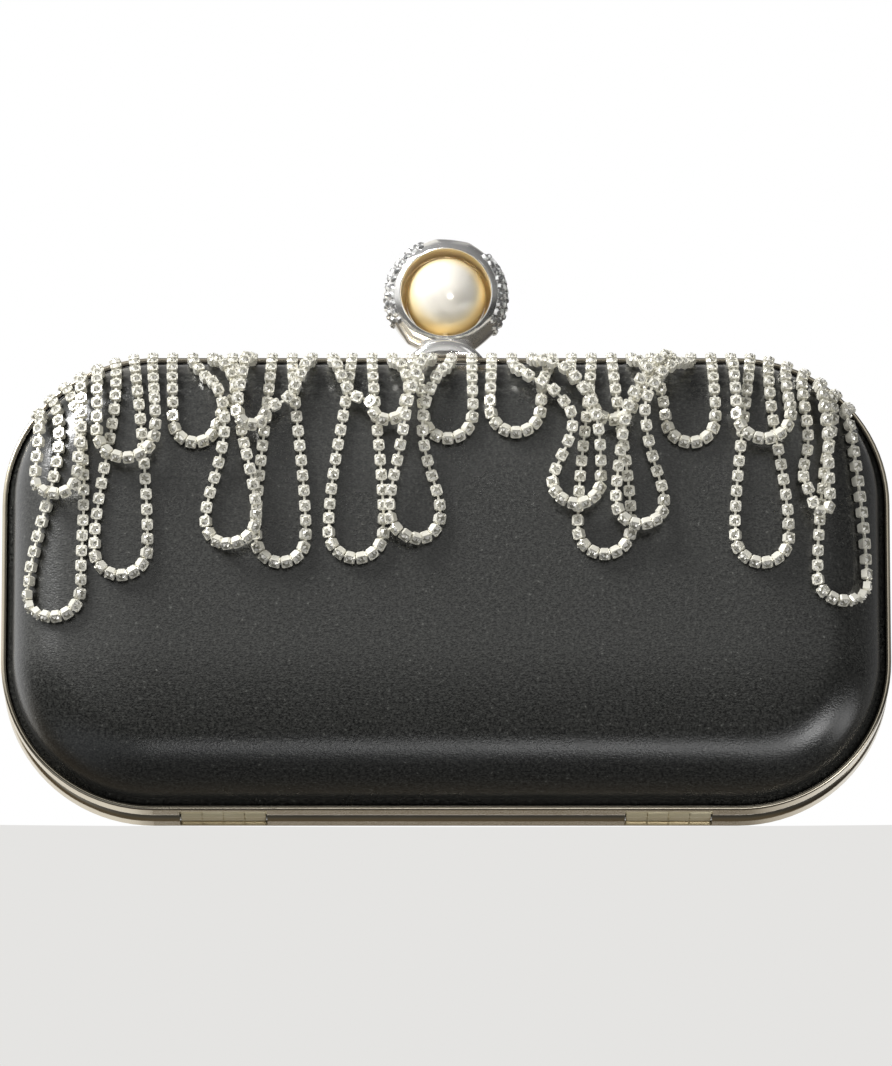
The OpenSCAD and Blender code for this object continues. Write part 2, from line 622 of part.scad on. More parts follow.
// A chain of square cups: one closed tube, thick at each cup and thin at each link.
module chain(l) {
    flat = smooth(loop_route(l));
    skin = [for (p = flat) face_point(p)];
    skin_run = run_of(skin);
    total = skin_run[len(skin) - 1];
    line = [for (i = [0 : len(flat) - 1]) skin[i] + face_normal(flat[i]) * lift(skin_run[i], total, l[2])];
    run = run_of(line);
    length = run[len(line) - 1];
    cups = round(length / cup_pitch);
    step = length / (2 * cups);
    function along(s, k) = lookup(s, [for (i = [0 : len(line) - 1]) [run[i], line[i][k]]]);
    function up(s, k) = lookup(s, [for (i = [0 : len(line) - 1]) [run[i], face_normal(flat[i])[k]]]);
    centre = [for (i = [0 : 2 * cups]) [for (k = [0 : 2]) along(i * step, k)]];
    points = [for (i = [0 : 2 * cups]) let (
            t = unit(centre[min(i + 1, 2 * cups)] - centre[max(i - 1, 0)]),
            n = [for (k = [0 : 2]) up(i * step, k)],
            b = unit(cross(t, n)), m = cross(b, t),
            r = i % 2 == 0 ? link_half : cup_half)
        for (c = [[1, 1], [-1, 1], [-1, -1], [1, -1]]) centre[i] + r * (c[0] * b + c[1] * m)];
    sides = [for (i = [0 : 2 * cups - 1], j = [0 : 3]) let (k = (j + 1) % 4, a = 4 * i)
        each [[a + j, a + k, a + 4 + j], [a + k, a + 4 + k, a + 4 + j]]];
    last = 8 * cups;
    caps = [[2, 1, 0], [3, 2, 0], [last, last + 1, last + 2], [last, last + 2, last + 3]];
    color([0.85, 0.84, 0.78]) stand() polyhedron(points, concat(sides, caps));
}

front_frame();
front_board();
front_cover();
front_lining();
fringe_tape();
hinge_leaf(-hinge_x, 1);  // hinge_left_front_leaf
hinge_leaf(hinge_x, 1);  // hinge_right_front_leaf
clasp_catch();
back_frame();
back_board();
back_cover();
back_lining();
hinge_leaf(-hinge_x, -1);  // hinge_left_back_leaf
hinge_leaf(hinge_x, -1);  // hinge_right_back_leaf
hinge_pin(-hinge_x);  // hinge_left_pin
hinge_pin(hinge_x);  // hinge_right_pin
clasp_bracket();
clasp_pivot_pin();
clasp_spring();
clasp_lever();
clasp_saddle();
clasp_ring();
ring_crystals();
pearl();
pearl_post();
for (i = [0 : len(LOOPS) - 1]) chain(LOOPS[i]);
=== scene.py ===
"""Looks of the evening bag: satin halves in a rim frame, pearl ring clasp, cup chain fringe."""
import math
import bpy
import bmesh
import numpy as np
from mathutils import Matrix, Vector


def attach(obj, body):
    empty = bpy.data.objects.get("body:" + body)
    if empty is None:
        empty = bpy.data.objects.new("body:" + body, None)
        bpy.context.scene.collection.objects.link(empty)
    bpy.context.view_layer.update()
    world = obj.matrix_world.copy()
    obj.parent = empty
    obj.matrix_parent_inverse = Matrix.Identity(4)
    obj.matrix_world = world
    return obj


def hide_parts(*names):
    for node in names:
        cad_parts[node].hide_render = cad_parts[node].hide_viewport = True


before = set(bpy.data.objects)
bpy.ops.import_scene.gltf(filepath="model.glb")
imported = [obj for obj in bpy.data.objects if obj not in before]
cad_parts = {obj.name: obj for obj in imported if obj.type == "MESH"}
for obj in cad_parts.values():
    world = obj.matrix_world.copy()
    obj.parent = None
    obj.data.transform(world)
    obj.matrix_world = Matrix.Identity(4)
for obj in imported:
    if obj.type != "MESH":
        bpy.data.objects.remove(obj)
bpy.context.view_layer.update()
scene = bpy.context.scene
MM = 0.001

# Photograph: its height in pixels, its scale, its view, and the line where the grey page starts.
PHOTO_H = 1066
PX_PER_MM = 4.22
VIEW_ELEVATION = math.radians(-14)
CAMERA_DISTANCE = 2500
AIM_Z = 68.2
PAGE_EDGE_Y = 827
PAGE_ELEVATION = -VIEW_ELEVATION - math.atan((PAGE_EDGE_Y - PHOTO_H / 2) / PX_PER_MM / CAMERA_DISTANCE)

# Body, in millimetres, as in the part's source. A place on a half has an inset d from the
# outline and a height f over the parting plane.
BODY_W = 210
BODY_H = 110
CORNER_R = 36
HALF_DEPTH = 28
PARTING_Y = 4.35
PANEL_F0 = 2.25
PANEL_D0 = 1.9
DRAFT = math.radians(6)
FLANK_DEPTH = 12.5
CROWN_SLOPE = math.radians(10)
COVER_T = 0.6
TUCK = 0.5
LINING_T = 0.6
LINING_IN = 2.9
BAY_HALF = 13
BAY_F = 8.8

# The face's section: a drafted flank, a round shoulder and a shallow crown, tangent to each other.
FLANK_D = PANEL_D0 + (FLANK_DEPTH - PANEL_F0) * math.tan(DRAFT)
CROWN_K = math.tan(CROWN_SLOPE / 2)
SHOULDER_R = (HALF_DEPTH - FLANK_DEPTH - CROWN_K * (CORNER_R - FLANK_D)) / (
    math.cos(CROWN_SLOPE) - math.sin(DRAFT) - CROWN_K * (math.cos(DRAFT) - math.sin(CROWN_SLOPE)))
SHOULDER_C = (FLANK_D + SHOULDER_R * math.cos(DRAFT), FLANK_DEPTH - SHOULDER_R * math.sin(DRAFT))
SHOULDER_END = SHOULDER_C[0] - SHOULDER_R * math.sin(CROWN_SLOPE)
CROWN_R = (CORNER_R - SHOULDER_END) / math.sin(CROWN_SLOPE)
CROWN_C = (CORNER_R, HALF_DEPTH - CROWN_R)

# Clasp, in millimetres, with the pave's two arcs in degrees from the top.
RING_Z = BODY_H + 17.1
RING_R = 14.7
RING_EDGE_R = 11.4
RING_BORE_R = 10.7
RING_DEPTH = 11
RING_FLATS = 11
RING_ARC_R = ((RING_DEPTH / 2) ** 2 + (RING_R - RING_EDGE_R) ** 2) / (2 * (RING_R - RING_EDGE_R))
PAVE_LEFT = (-122, -24)
PAVE_RIGHT = (42, 128)
PAVE_PITCH = 2.1
PEARL_R = 9.6
PEARL_SEAT_F = -2
SADDLE_Z = BODY_H + 0.9
SADDLE_W = 18
SADDLE_H = 4.8
SADDLE_FRONT = 6.3
SADDLE_BACK = 4.2

# Fringe, in millimetres: chain ends along the edge, the chain's pitch and height, the tape under
# the ends, how loops rise over each other and turn on edge at the bottom, and the cups.
END_COUNT = 44
END_PITCH = 4.72
END_SHIFT = -1
END_D = PANEL_D0 + (FLANK_DEPTH - 1 - PANEL_F0) * math.tan(DRAFT)
CUP_PITCH = 3.7
CHAIN_BASE = 1.65
LAYER_PITCH = 2.9
TAPE_T = 0.5
TAPE_F0 = 8.7
TAPE_F1 = 12.3
RAMP_START = 6
RAMP = 9
CROSS_REACH = 3.7
DRAPE_SLOPE = 0.5
EDGE_RUN = 1.2
EDGE_ON = math.radians(62)
CROWDING = 0.3
CUP_BASE = 1.1
CUP_FLOOR = 1.25
CUP_RIM = 1.3
CUP_SEAT = 0.42
PATH_STEPS = 14

# One row per loop: its two ends, its layer, the bends below the first end, the bottom as (offset,
# drop, half width), and the bends below the second end. A bend is (offset from its end, drop).
LOOPS = [
    (0, 3, 1, [], (0.6, 39, 4.2), []),
    (1, 2, 0, [], (-0.2, 68, 5.9), []),
    (4, 7, 1, [], (0.8, 31, 6.7), []),
    (5, 6, 0, [], (-0.3, 58.5, 6.2), []),
    (8, 11, 0, [], (-1.3, 26.5, 5.3), [(0.8, 14)]),
    (9, 10, 1, [(6.8, 15.5), (8, 23.5)], (7.2, 51.5, 6), [(5.3, 12.5), (7.2, 23.5)]),
    (12, 15, 2, [(-1.8, 11.5)], (-7.2, 24, 3.2), [(-5.3, 16)]),
    (13, 14, 0, [], (0, 55.5, 5.9), []),
    (16, 19, 1, [(4.7, 15.5)], (6.2, 22, 4), [(4, 14)]),
    (17, 18, 0, [], (-1.2, 54.5, 6.5), []),
    (20, 23, 0, [(1.9, 11.5)], (1.5, 25.5, 5.8), []),
    (21, 22, 2, [(-5, 16), (-6.6, 24.5)], (-6.3, 50, 6), [(-6, 17), (-6.9, 24.5)]),
    (24, 27, 0, [], (-1.5, 24, 6), [(-2.3, 12.5)]),
    (25, 26, 2, [(2.5, 10.5), (9, 14), (13, 18), (14.2, 23)], (12.8, 42, 5.7),
     [(3, 9), (9.5, 12.8), (13.6, 17.5), (15.4, 24)]),
    (28, 31, 1, [(0, 11.5)], (2.5, 22, 5), [(3.6, 11.5)]),
    (29, 30, 0, [], (0.4, 53.5, 6.3), []),
    (32, 35, 0, [(1.9, 12.5)], (1.9, 26.5, 5.9), []),
    (33, 34, 2, [(-1.5, 8.5), (-6.5, 12.5), (-10.2, 18.5), (-11.8, 26)], (-10.1, 47, 5.7),
     [(-4, 9.5), (-9, 14.5), (-11.1, 18.5), (-10.8, 25)]),
    (36, 39, 1, [], (0.6, 26.5, 6.2), []),
    (37, 38, 0, [], (0, 55.5, 6.3), []),
    (40, 41, 1, [(0.6, 26), (-0.8, 35)], (1.2, 43.5, 1.9), [(0.6, 26)]),
    (42, 43, 0, [(-0.9, 19), (-3, 34)], (-0.6, 64, 5.5), [(0, 21)]),
]
FRINGE_BODIES = {
    "fringe_far_left": (1, 2), "fringe_left": (3, 4), "fringe_mid_left": (5, 6, 7, 8),
    "fringe_centre": (9, 10, 11, 12), "fringe_mid_right": (13, 14, 15, 16, 17, 18),
    "fringe_right": (19, 20), "fringe_far_right": (21, 22),
}


# Objects and nodes

def put(name, data):
    """A new object, linked to the scene."""
    thing = bpy.data.objects.new(name, data)
    scene.collection.objects.link(thing)
    return thing


def feed(tree, node, inputs):
    """Gives a node's sockets a value, or links the output that feeds them."""
    for key, value in inputs.items():
        if isinstance(value, bpy.types.NodeSocket):
            tree.links.new(value, node.inputs[key])
        else:
            node.inputs[key].default_value = value
    return node


def add(tree, kind, inputs=None, **settings):
    """A new node: its settings first, because they decide which sockets it has."""
    node = tree.nodes.new(kind)
    for name, value in settings.items():
        setattr(node, name, value)
    return feed(tree, node, inputs or {})


def calc(tree, operation, *values, **settings):
    return add(tree, "ShaderNodeMath", dict(enumerate(values)), operation=operation, **settings).outputs[0]


def remap(tree, value, low, high, to_low=0, to_high=1, **settings):
    """A value stretched from one range to another, and held inside it."""
    return add(tree, "ShaderNodeMapRange", {
        "Value": value, "From Min": low, "From Max": high, "To Min": to_low, "To Max": to_high,
    }, **settings).outputs[0]


def blend(tree, share, first, second):
    """A mix of two colours, each an output or (red, green, blue)."""
    first, second = [(*c, 1) if isinstance(c, tuple) else c for c in (first, second)]
    return add(tree, "ShaderNodeMix", {0: share, 6: first, 7: second}, data_type="RGBA").outputs[2]


def noise(tree, place, scale, detail):
    return add(tree, "ShaderNodeTexNoise", {
        "Vector": place, "Scale": scale, "Detail": detail}).outputs["Fac"]


def bump(tree, height, strength, depth):
    return add(tree, "ShaderNodeBump", {
        "Height": height, "Strength": strength, "Distance": depth}).outputs[0]


# Camera and stage

def set_camera():
    sensor = 36
    lens = bpy.data.cameras.new("photo_camera")
    lens.sensor_width = sensor
    lens.lens = sensor * CAMERA_DISTANCE * PX_PER_MM / PHOTO_H
    lens.clip_end = 20
    camera = put("photo_camera", lens)
    back = Vector((0, -math.cos(VIEW_ELEVATION), math.sin(VIEW_ELEVATION)))
    camera.location = Vector((0, 0, AIM_Z * MM)) + back * CAMERA_DISTANCE * MM
    camera.rotation_mode = "QUATERNION"
    camera.rotation_quaternion = (-back).to_track_quat("-Z", "Y")
    scene.camera = camera


def softbox(name, place, aim, width, height, power, spread=180):
    """An area lamp that faces a point. The camera does not see it."""
    light = bpy.data.lights.new(name, "AREA")
    light.shape = "RECTANGLE"
    light.size, light.size_y = width, height
    light.energy = power
    light.spread = math.radians(spread)
    lamp = put(name, light)
    lamp.location = place
    lamp.rotation_mode = "QUATERNION"
    lamp.rotation_quaternion = (Vector(aim) - Vector(place)).to_track_quat("-Z", "Y")
    lamp.visible_camera = False


def set_lights():
    bag = (0, 0, 0.07)
    softbox("key_softbox", (-1.05, -0.7, 1.2), bag, 0.7, 0.7, 48)
    softbox("right_window", (0.6, -1.04, 0.9), bag, 0.3, 0.5, 0.4)
    softbox("right_low_card", (0.8, -0.45, -0.5), (0.06, -0.02, 0.03), 0.4, 0.3, 1.6)
    softbox("right_side_card", (0.95, 0.08, -0.34), (0.1, 0, 0.03), 0.6, 0.25, 0.8)
    softbox("low_card", (0.25, -0.46, -0.44), (0.02, -0.02, 0.02), 0.7, 0.16, 0.8)
    softbox("pearl_card", (0.12, -0.6, 0.02), (0, 0, 0.127), 0.06, 0.06, 0.0032, spread=8)


def set_world():
    """White over the grey page for the camera, and for mirrored rays a dim room in front of the bag
    and lit paper with two cream cards behind it."""
    world = bpy.data.worlds.new("studio")
    scene.world = world
    world.use_nodes = True
    tree = world.node_tree
    tree.nodes.clear()
    place = add(tree, "ShaderNodeTexCoord").outputs["Generated"]
    way = add(tree, "ShaderNodeSeparateXYZ", {0: place}).outputs
    height = remap(tree, way["Z"], -1, 1)
    sideways = remap(tree, way["X"], -1, 1)
    behind = remap(tree, way["Y"], 0.1, 0.5)

    def ramp(value, *stops):
        """Colours along a value; a single number is a grey."""
        node = add(tree, "ShaderNodeValToRGB", {0: value})
        marks = node.color_ramp.elements
        while len(marks) < len(stops):
            marks.new(0.5)
        for mark, (spot, colour) in zip(marks, stops):
            mark.position = spot
            mark.color = (*(colour if isinstance(colour, tuple) else (colour,) * 3), 1)
        return node.outputs[0]

    above_page = calc(tree, "GREATER_THAN", way["Z"], math.sin(PAGE_ELEVATION))
    seen = blend(tree, above_page, (0.783, 0.776, 0.761), (1, 1, 1))
    room = ramp(
        height, (0, 0.07), (0.05, 0.1), (0.14, (0.3, 0.315, 0.33)), (0.22, (0.26, 0.27, 0.28)),
        (0.3, (0.04, 0.04, 0.036)), (0.52, 0.02), (0.6, (0.82, 0.82, 0.8)), (0.68, (0.82, 0.82, 0.8)),
        (0.8, (0.35, 0.35, 0.34)), (1, 0.2))
    room = blend(tree, ramp(sideways, (0.35, 0), (0.85, 0.8)), room, (0, 0, 0))
    paper = ramp(
        height, (0, (0.1, 0.09, 0.07)), (0.2, (0.1, 0.08, 0.055)), (0.38, (0.1, 0.075, 0.045)),
        (0.4, (0.2, 0.17, 0.12)), (0.44, (0.8, 0.77, 0.71)), (0.5, 1), (0.72, 1), (0.82, 0.12))
    cards = ramp(
        sideways, (0.34, 0), (0.37, 0.9), (0.46, 0.9), (0.485, 0),
        (0.53, 0), (0.56, 0.35), (0.62, 0.35), (0.66, 0))
    cards = blend(tree, ramp(height, (0.28, 0), (0.34, 1)), (0, 0, 0), cards)
    paper = blend(tree, cards, paper, (0.9, 0.87, 0.8))
    paper = blend(tree, ramp(sideways, (0.63, 0), (0.72, 0.85)), paper, (0.02, 0.02, 0.02))
    rays = add(tree, "ShaderNodeLightPath").outputs
    sharp = calc(tree, "MAXIMUM", rays["Is Glossy Ray"], rays["Is Transmission Ray"])
    lit = blend(tree, sharp, (0.2, 0.2, 0.2), blend(tree, behind, room, paper))
    shade = add(tree, "ShaderNodeBackground", {"Color": blend(tree, rays["Is Camera Ray"], lit, seen)})
    add(tree, "ShaderNodeOutputWorld", {"Surface": shade.outputs[0]})


def set_floor():
    """A pale floor that is seen from above only, because the photograph looks up at the bag."""
    reach = 6.0
    mesh = bpy.data.meshes.new("floor")
    mesh.from_pydata([(-reach, -reach, 0), (reach, -reach, 0), (reach, reach, 0), (-reach, reach, 0)],
                     [], [(0, 1, 2, 3)])
    floor = put("floor", mesh)
    skin = bpy.data.materials.new("pale_floor")
    skin.use_nodes = True
    tree = skin.node_tree
    tree.nodes.clear()
    card = add(tree, "ShaderNodeBsdfDiffuse", {"Color": (0.78, 0.775, 0.76, 1)}).outputs[0]
    glow = add(tree, "ShaderNodeEmission", {"Color": (0.86, 0.855, 0.84, 1)}).outputs[0]
    pale = add(tree, "ShaderNodeMixShader", {0: 0.5, 1: card, 2: glow}).outputs[0]
    clear = add(tree, "ShaderNodeBsdfTransparent").outputs[0]
    camera_ray = add(tree, "ShaderNodeLightPath").outputs["Is Camera Ray"]
    from_below = add(tree, "ShaderNodeNewGeometry").outputs["Backfacing"]
    shown = calc(tree, "SUBTRACT", camera_ray, from_below, use_clamp=True)
    surface = add(tree, "ShaderNodeMixShader", {0: shown, 1: clear, 2: pale}).outputs[0]
    add(tree, "ShaderNodeOutputMaterial", {"Surface": surface})
    mesh.materials.append(skin)


# Materials

def number_group(name, inputs, outputs):
    """An empty shader group with number sockets, each input with its default."""
    group = bpy.data.node_groups.new(name, "ShaderNodeTree")
    for label, default in inputs.items():
        socket = group.interface.new_socket(label, in_out="INPUT", socket_type="NodeSocketFloat")
        socket.min_value = 0
        socket.default_value = default
    for label in outputs:
        group.interface.new_socket(label, in_out="OUTPUT", socket_type="NodeSocketFloat")
    return group, add(group, "NodeGroupInput").outputs


def make_rub_group():
    """Fine rub marks of handled metal: a roughness that wanders, and a faint grain."""
    group, given = number_group("metal_rub", {"Polish": 0.15, "Haze": 0.15, "Grain": 900},
                                ("Roughness", "Height", "Tarnish"))
    place = add(group, "ShaderNodeTexCoord").outputs["Object"]
    cloud = noise(group, place, 90, 5)
    grain = noise(group, place, given["Grain"], 3)
    rough = calc(group, "MULTIPLY_ADD", cloud, given["Haze"], given["Polish"])
    add(group, "NodeGroupOutput", {"Roughness": rough, "Height": grain, "Tarnish": cloud})
    return group


def make_thread_group():
    """A close weave in the cloth's own UV map: floats along U, with slubs and stray bright threads."""
    group, given = number_group("thread_weave", {"Threads": 3200, "Float length": 4, "Slub": 0.5},
                                ("Weave", "Cloud", "Speck"))
    place = add(group, "ShaderNodeUVMap", uv_map="cloth").outputs["UV"]
    parts = add(group, "ShaderNodeSeparateXYZ", {0: place}).outputs
    along = calc(group, "DIVIDE", parts["X"], given["Float length"])
    drawn_out = add(group, "ShaderNodeCombineXYZ", {"X": along, "Y": parts["Y"]}).outputs[0]
    threads = noise(group, drawn_out, given["Threads"], 2)
    slubs = noise(group, place, 1000, 4)
    weave = add(group, "ShaderNodeMix", {0: given["Slub"], 2: threads, 3: slubs}, data_type="FLOAT")
    add(group, "NodeGroupOutput", {
        "Weave": weave.outputs[0], "Cloud": noise(group, place, 55, 4),
        "Speck": remap(group, slubs, 0.66, 0.8)})
    return group


RUB = make_rub_group()
THREADS = make_thread_group()


def start_material(name):
    skin = bpy.data.materials.new(name)
    skin.use_nodes = True
    return skin, skin.node_tree, skin.node_tree.nodes["Principled BSDF"]


def plated_metal(name, dull, bright, polish, haze, relief, grain=1500, metal=1.0):
    skin, tree, shader = start_material(name)
    marks = {"Polish": polish, "Haze": haze, "Grain": grain}
    rub = add(tree, "ShaderNodeGroup", marks, node_tree=RUB).outputs
    feed(tree, shader, {
        "Metallic": metal,
        "Base Color": blend(tree, rub["Tarnish"], dull, bright),
        "Roughness": rub["Roughness"],
        "Normal": bump(tree, rub["Height"], relief, 0.00004)})
    return skin


def cloth(name, dark, light, gloss, threads, float_length, slub, relief, sheen):
    skin, tree, shader = start_material(name)
    yarn = {"Threads": threads, "Float length": float_length, "Slub": slub}
    weave = add(tree, "ShaderNodeGroup", yarn, node_tree=THREADS).outputs
    ground = blend(tree, remap(tree, weave["Weave"], 0.4, 0.62), dark, light)
    stray_thread = tuple(4 * c for c in light)
    feed(tree, shader, {
        "Base Color": blend(tree, weave["Speck"], ground, stray_thread),
        "Roughness": remap(tree, weave["Cloud"], 0, 1, gloss + 0.06, gloss - 0.06),
        "Sheen Weight": sheen, "Sheen Roughness": 0.4, "Specular IOR Level": 1,
        "Normal": bump(tree, weave["Weave"], relief, 0.00012)})
    return skin


def stone_material(name, dark, light):
    """Foiled crystal with painted glints: each facet's colour is set between a shaded and a lit tone by its
    own painted value, in place of the light its foil would catch.
    """
    skin, tree, shader = start_material(name)
    painted_glint = add(tree, "ShaderNodeAttribute", attribute_name="facet_tone").outputs["Fac"]
    feed(tree, shader, {
        "Base Color": blend(tree, painted_glint, dark, light),
        "Metallic": 0.25, "Roughness": 0.08, "IOR": 1.6})
    return skin


def pearl_material():
    """Cream nacre with a painted reflection: it turns golden towards the rim of the ring, in place of the
    gilt bore mirrored in the pearl.
    """
    skin, tree, shader = start_material("pearl_lustre")
    place = add(tree, "ShaderNodeTexCoord").outputs["Object"]
    shrink = 1 / (PEARL_R * MM)
    centred = add(tree, "ShaderNodeMapping", {
        "Vector": place, "Scale": (shrink, 0, shrink), "Location": (0, 0, -RING_Z * MM * shrink)})
    away = add(tree, "ShaderNodeVectorMath", {0: centred.outputs[0]}, operation="LENGTH")
    # Painted reflection: a golden band round the pearl's rim in place of the gilt bore it would mirror.
    edge = remap(tree, away.outputs["Value"], 0.6, 0.94, interpolation_type="SMOOTHSTEP")
    cloud = noise(tree, place, 160, 3)
    nacre = blend(tree, cloud, (0.95, 0.89, 0.76), (1, 0.97, 0.9))
    feed(tree, shader, {
        "Base Color": blend(tree, edge, nacre, (0.92, 0.77, 0.46)),
        "Metallic": 0.1, "Roughness": 0.24,
        "Coat Weight": 1, "Coat Roughness": 0.18, "Coat IOR": 1.7,
        "Normal": bump(tree, cloud, 0.05, 0.0001)})
    return skin


def board_material():
    skin, tree, shader = start_material("fibre_board")
    fibre = noise(tree, add(tree, "ShaderNodeTexCoord").outputs["Object"], 420, 6)
    feed(tree, shader, {
        "Base Color": blend(tree, fibre, (0.2, 0.18, 0.15), (0.34, 0.31, 0.27)),
        "Roughness": 0.85, "Normal": bump(tree, fibre, 0.3, 0.0002)})
    return skin


FRAME_METAL = plated_metal(
    "champagne_rim", (0.6, 0.53, 0.41), (0.78, 0.71, 0.58), polish=0.16, haze=0.1, relief=0.12)
HINGE_METAL = plated_metal(
    "pale_gold_hinge", (0.8, 0.69, 0.43), (0.97, 0.89, 0.66),
    polish=0.16, haze=0.14, relief=0.12, metal=0.45)
CLASP_STEEL = plated_metal(
    "plain_clasp_steel", (0.5, 0.48, 0.45), (0.7, 0.68, 0.65),
    polish=0.22, haze=0.2, relief=0.2, grain=1200)
RING_SILVER = plated_metal(
    "ring_silver", (0.8, 0.79, 0.77), (0.92, 0.91, 0.9),
    polish=0.08, haze=0.12, relief=0.08, metal=0.85)
BORE_GILT = plated_metal(
    "gilt_bore", (0.95, 0.79, 0.47), (1.0, 0.88, 0.6),
    polish=0.25, haze=0.12, relief=0.08, metal=0.35)
CUP_SILVER = plated_metal(
    "cup_silver", (0.77, 0.745, 0.64), (0.93, 0.91, 0.825),
    polish=0.16, haze=0.14, relief=0.05, metal=0.3)
SATIN = cloth(
    "black_satin", (0.002, 0.0021, 0.0019), (0.046, 0.0465, 0.0425),
    gloss=0.28, threads=2500, float_length=1.4, slub=0.4, relief=0.75, sheen=0.03)
LINING = cloth(
    "black_lining", (0.008, 0.008, 0.009), (0.028, 0.028, 0.031),
    gloss=0.62, threads=2400, float_length=1.5, slub=0.3, relief=0.3, sheen=0.1)
TAPE = cloth(
    "woven_tape", (0.006, 0.006, 0.006), (0.04, 0.04, 0.04),
    gloss=0.7, threads=1800, float_length=0.6, slub=0.2, relief=0.6, sheen=0.1)
# Stone colours: the dark one is painted shade and the light one a painted glint, picked per facet.
STONE = stone_material("cup_stone", (0.22, 0.21, 0.15), (1.0, 0.98, 0.92))
PAVE_STONE = stone_material("pave_stone", (0.1, 0.1, 0.1), (1.0, 1.0, 0.99))
PEARL = pearl_material()
BOARD = board_material()


# Meshes and pieces

def add_piece(name, mesh, body, replaced):
    piece = put(name, mesh)
    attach(piece, body)
    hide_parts(*replaced)


def plain_mesh(thing):
    """The mesh of an object with its modifiers worked in; the object itself goes."""
    graph = bpy.context.evaluated_depsgraph_get()
    mesh = bpy.data.meshes.new_from_object(thing.evaluated_get(graph))
    mesh.name = thing.name
    bpy.data.objects.remove(thing)
    return mesh


def mesh_of(name, points, faces, material):
    mesh = bpy.data.meshes.new(name)
    mesh.from_pydata([tuple(p) for p in points], [], faces)
    mesh.materials.append(material)
    mesh.polygons.foreach_set("use_smooth", [True] * len(mesh.polygons))
    mesh.update()
    return mesh


def face_out(mesh):
    """Turns all faces outwards."""
    shell = bmesh.new()
    shell.from_mesh(mesh)
    bmesh.ops.recalc_face_normals(shell, faces=shell.faces)
    shell.to_mesh(mesh)
    shell.free()


def quads(rows, n, closed=False):
    """Faces between neighbouring rows of n points, each row a ring; closed joins the last to the first."""
    faces = []
    for i in range(rows if closed else rows - 1):
        j = (i + 1) % rows
        faces += [(i * n + k, i * n + (k + 1) % n, j * n + (k + 1) % n, j * n + k) for k in range(n)]
    return faces


# Satin, lining and tape

def outline_columns(corner_steps):
    """Columns round the bag: a point of the inner rectangle and the way out from it."""
    half_w, half_h = BODY_W / 2 - CORNER_R, BODY_H / 2 - CORNER_R
    columns = []

    def side(points, out):
        columns.extend((x, z, *out) for x, z in points)

    def corner(x, z, start):
        for k in range(1, corner_steps):
            a = start - math.pi / 2 * k / corner_steps
            columns.append((x, z, math.cos(a), math.sin(a)))

    between = 39
    across = [-half_w, -between, -BAY_HALF, BAY_HALF, between, half_w]
    side([(x, half_h) for x in across], (0, 1))
    corner(half_w, half_h, math.pi / 2)
    side([(half_w, z) for z in (half_h, 0, -half_h)], (1, 0))
    corner(half_w, -half_h, 0)
    side([(-x, -half_h) for x in across], (0, -1))
    corner(-half_w, -half_h, -math.pi / 2)
    side([(-half_w, z) for z in (-half_h, 0, half_h)], (-1, 0))
    corner(-half_w, half_h, math.pi)
    return columns


def panel_rows(below, tuck):
    """The panel's section at a depth below the satin's face, as (d, f), from its edge to the crown.
    The tuck widens its foot, where the cloth is pressed into the rim."""
    shoulder_r, crown_r = SHOULDER_R - below, CROWN_R - below
    edge_d = PANEL_D0 + below / math.cos(DRAFT)
    rows = []
    for f in (PANEL_F0, 5, 8, BAY_F, 10.5):
        flank = edge_d + (f - PANEL_F0) * math.tan(DRAFT)
        rows.append((edge_d - tuck if tuck and f < BAY_F else flank, f))
    for a in np.linspace(DRAFT, math.pi / 2 - CROWN_SLOPE, 23):
        rows.append((SHOULDER_C[0] - shoulder_r * math.cos(a), SHOULDER_C[1] + shoulder_r * math.sin(a)))
    for a in np.linspace(CROWN_SLOPE, 0, 9)[1:]:
        rows.append((CROWN_C[0] - crown_r * math.sin(a), CROWN_C[1] + crown_r * math.cos(a)))
    return rows


def panel_shell(name, below, tuck, thickness, front, material, face_in):
    """A layer of one half: flank, shoulder and crown swept round the outline, then the flat middle."""
    columns = outline_columns(20)
    rows = panel_rows(below, tuck)
    run = [0]
    for a, b in zip(rows[::-1], rows[-2::-1]):
        run.append(run[-1] + math.dist(a, b))
    run = run[::-1]
    side = -1 if front else 1
    shell = bmesh.new()
    weave = shell.loops.layers.uv.new("cloth")
    flat = {}
    grid = []
    for (d, f), length in zip(rows, run):
        line = []
        for x, z, out_x, out_z in columns:
            reach = max(CORNER_R - d, 0)
            vert = shell.verts.new(((x + out_x * reach) * MM, (PARTING_Y + side * f) * MM,
                                    (BODY_H / 2 + z + out_z * reach) * MM))
            flat[vert] = ((x + out_x * length) * MM, (z + out_z * length) * MM)
            line.append(vert)
        grid.append(line)
    count = len(columns)
    for i in range(len(rows) - 1):
        for j in range(count):
            k = (j + 1) % count
            in_bay = rows[i + 1][1] <= BAY_F + 0.01 and columns[j][:2] == (-BAY_HALF, BODY_H / 2 - CORNER_R)
            if not in_bay:
                shell.faces.new((grid[i][j], grid[i][k], grid[i + 1][k], grid[i + 1][j]))
    shell.faces.new(grid[-1])
    for face in shell.faces:
        face.smooth = True
        for loop in face.loops:
            loop[weave].uv = flat[loop.vert]
    bmesh.ops.remove_doubles(shell, verts=shell.verts, dist=1e-7)
    bmesh.ops.dissolve_degenerate(shell, edges=shell.edges, dist=1e-7)
    bmesh.ops.recalc_face_normals(shell, faces=shell.faces)
    crown = max(shell.faces, key=lambda face: face.calc_area())
    if (crown.normal.y * side > 0) == face_in:
        bmesh.ops.reverse_faces(shell, faces=shell.faces)
    mesh = bpy.data.meshes.new(name)
    shell.to_mesh(mesh)
    shell.free()
    mesh.materials.append(material)
    thing = put(name, mesh)
    wall = thing.modifiers.new("wall", "SOLIDIFY")
    wall.thickness = thickness * MM
    wall.offset = -1
    wall.use_even_offset = True
    return plain_mesh(thing)


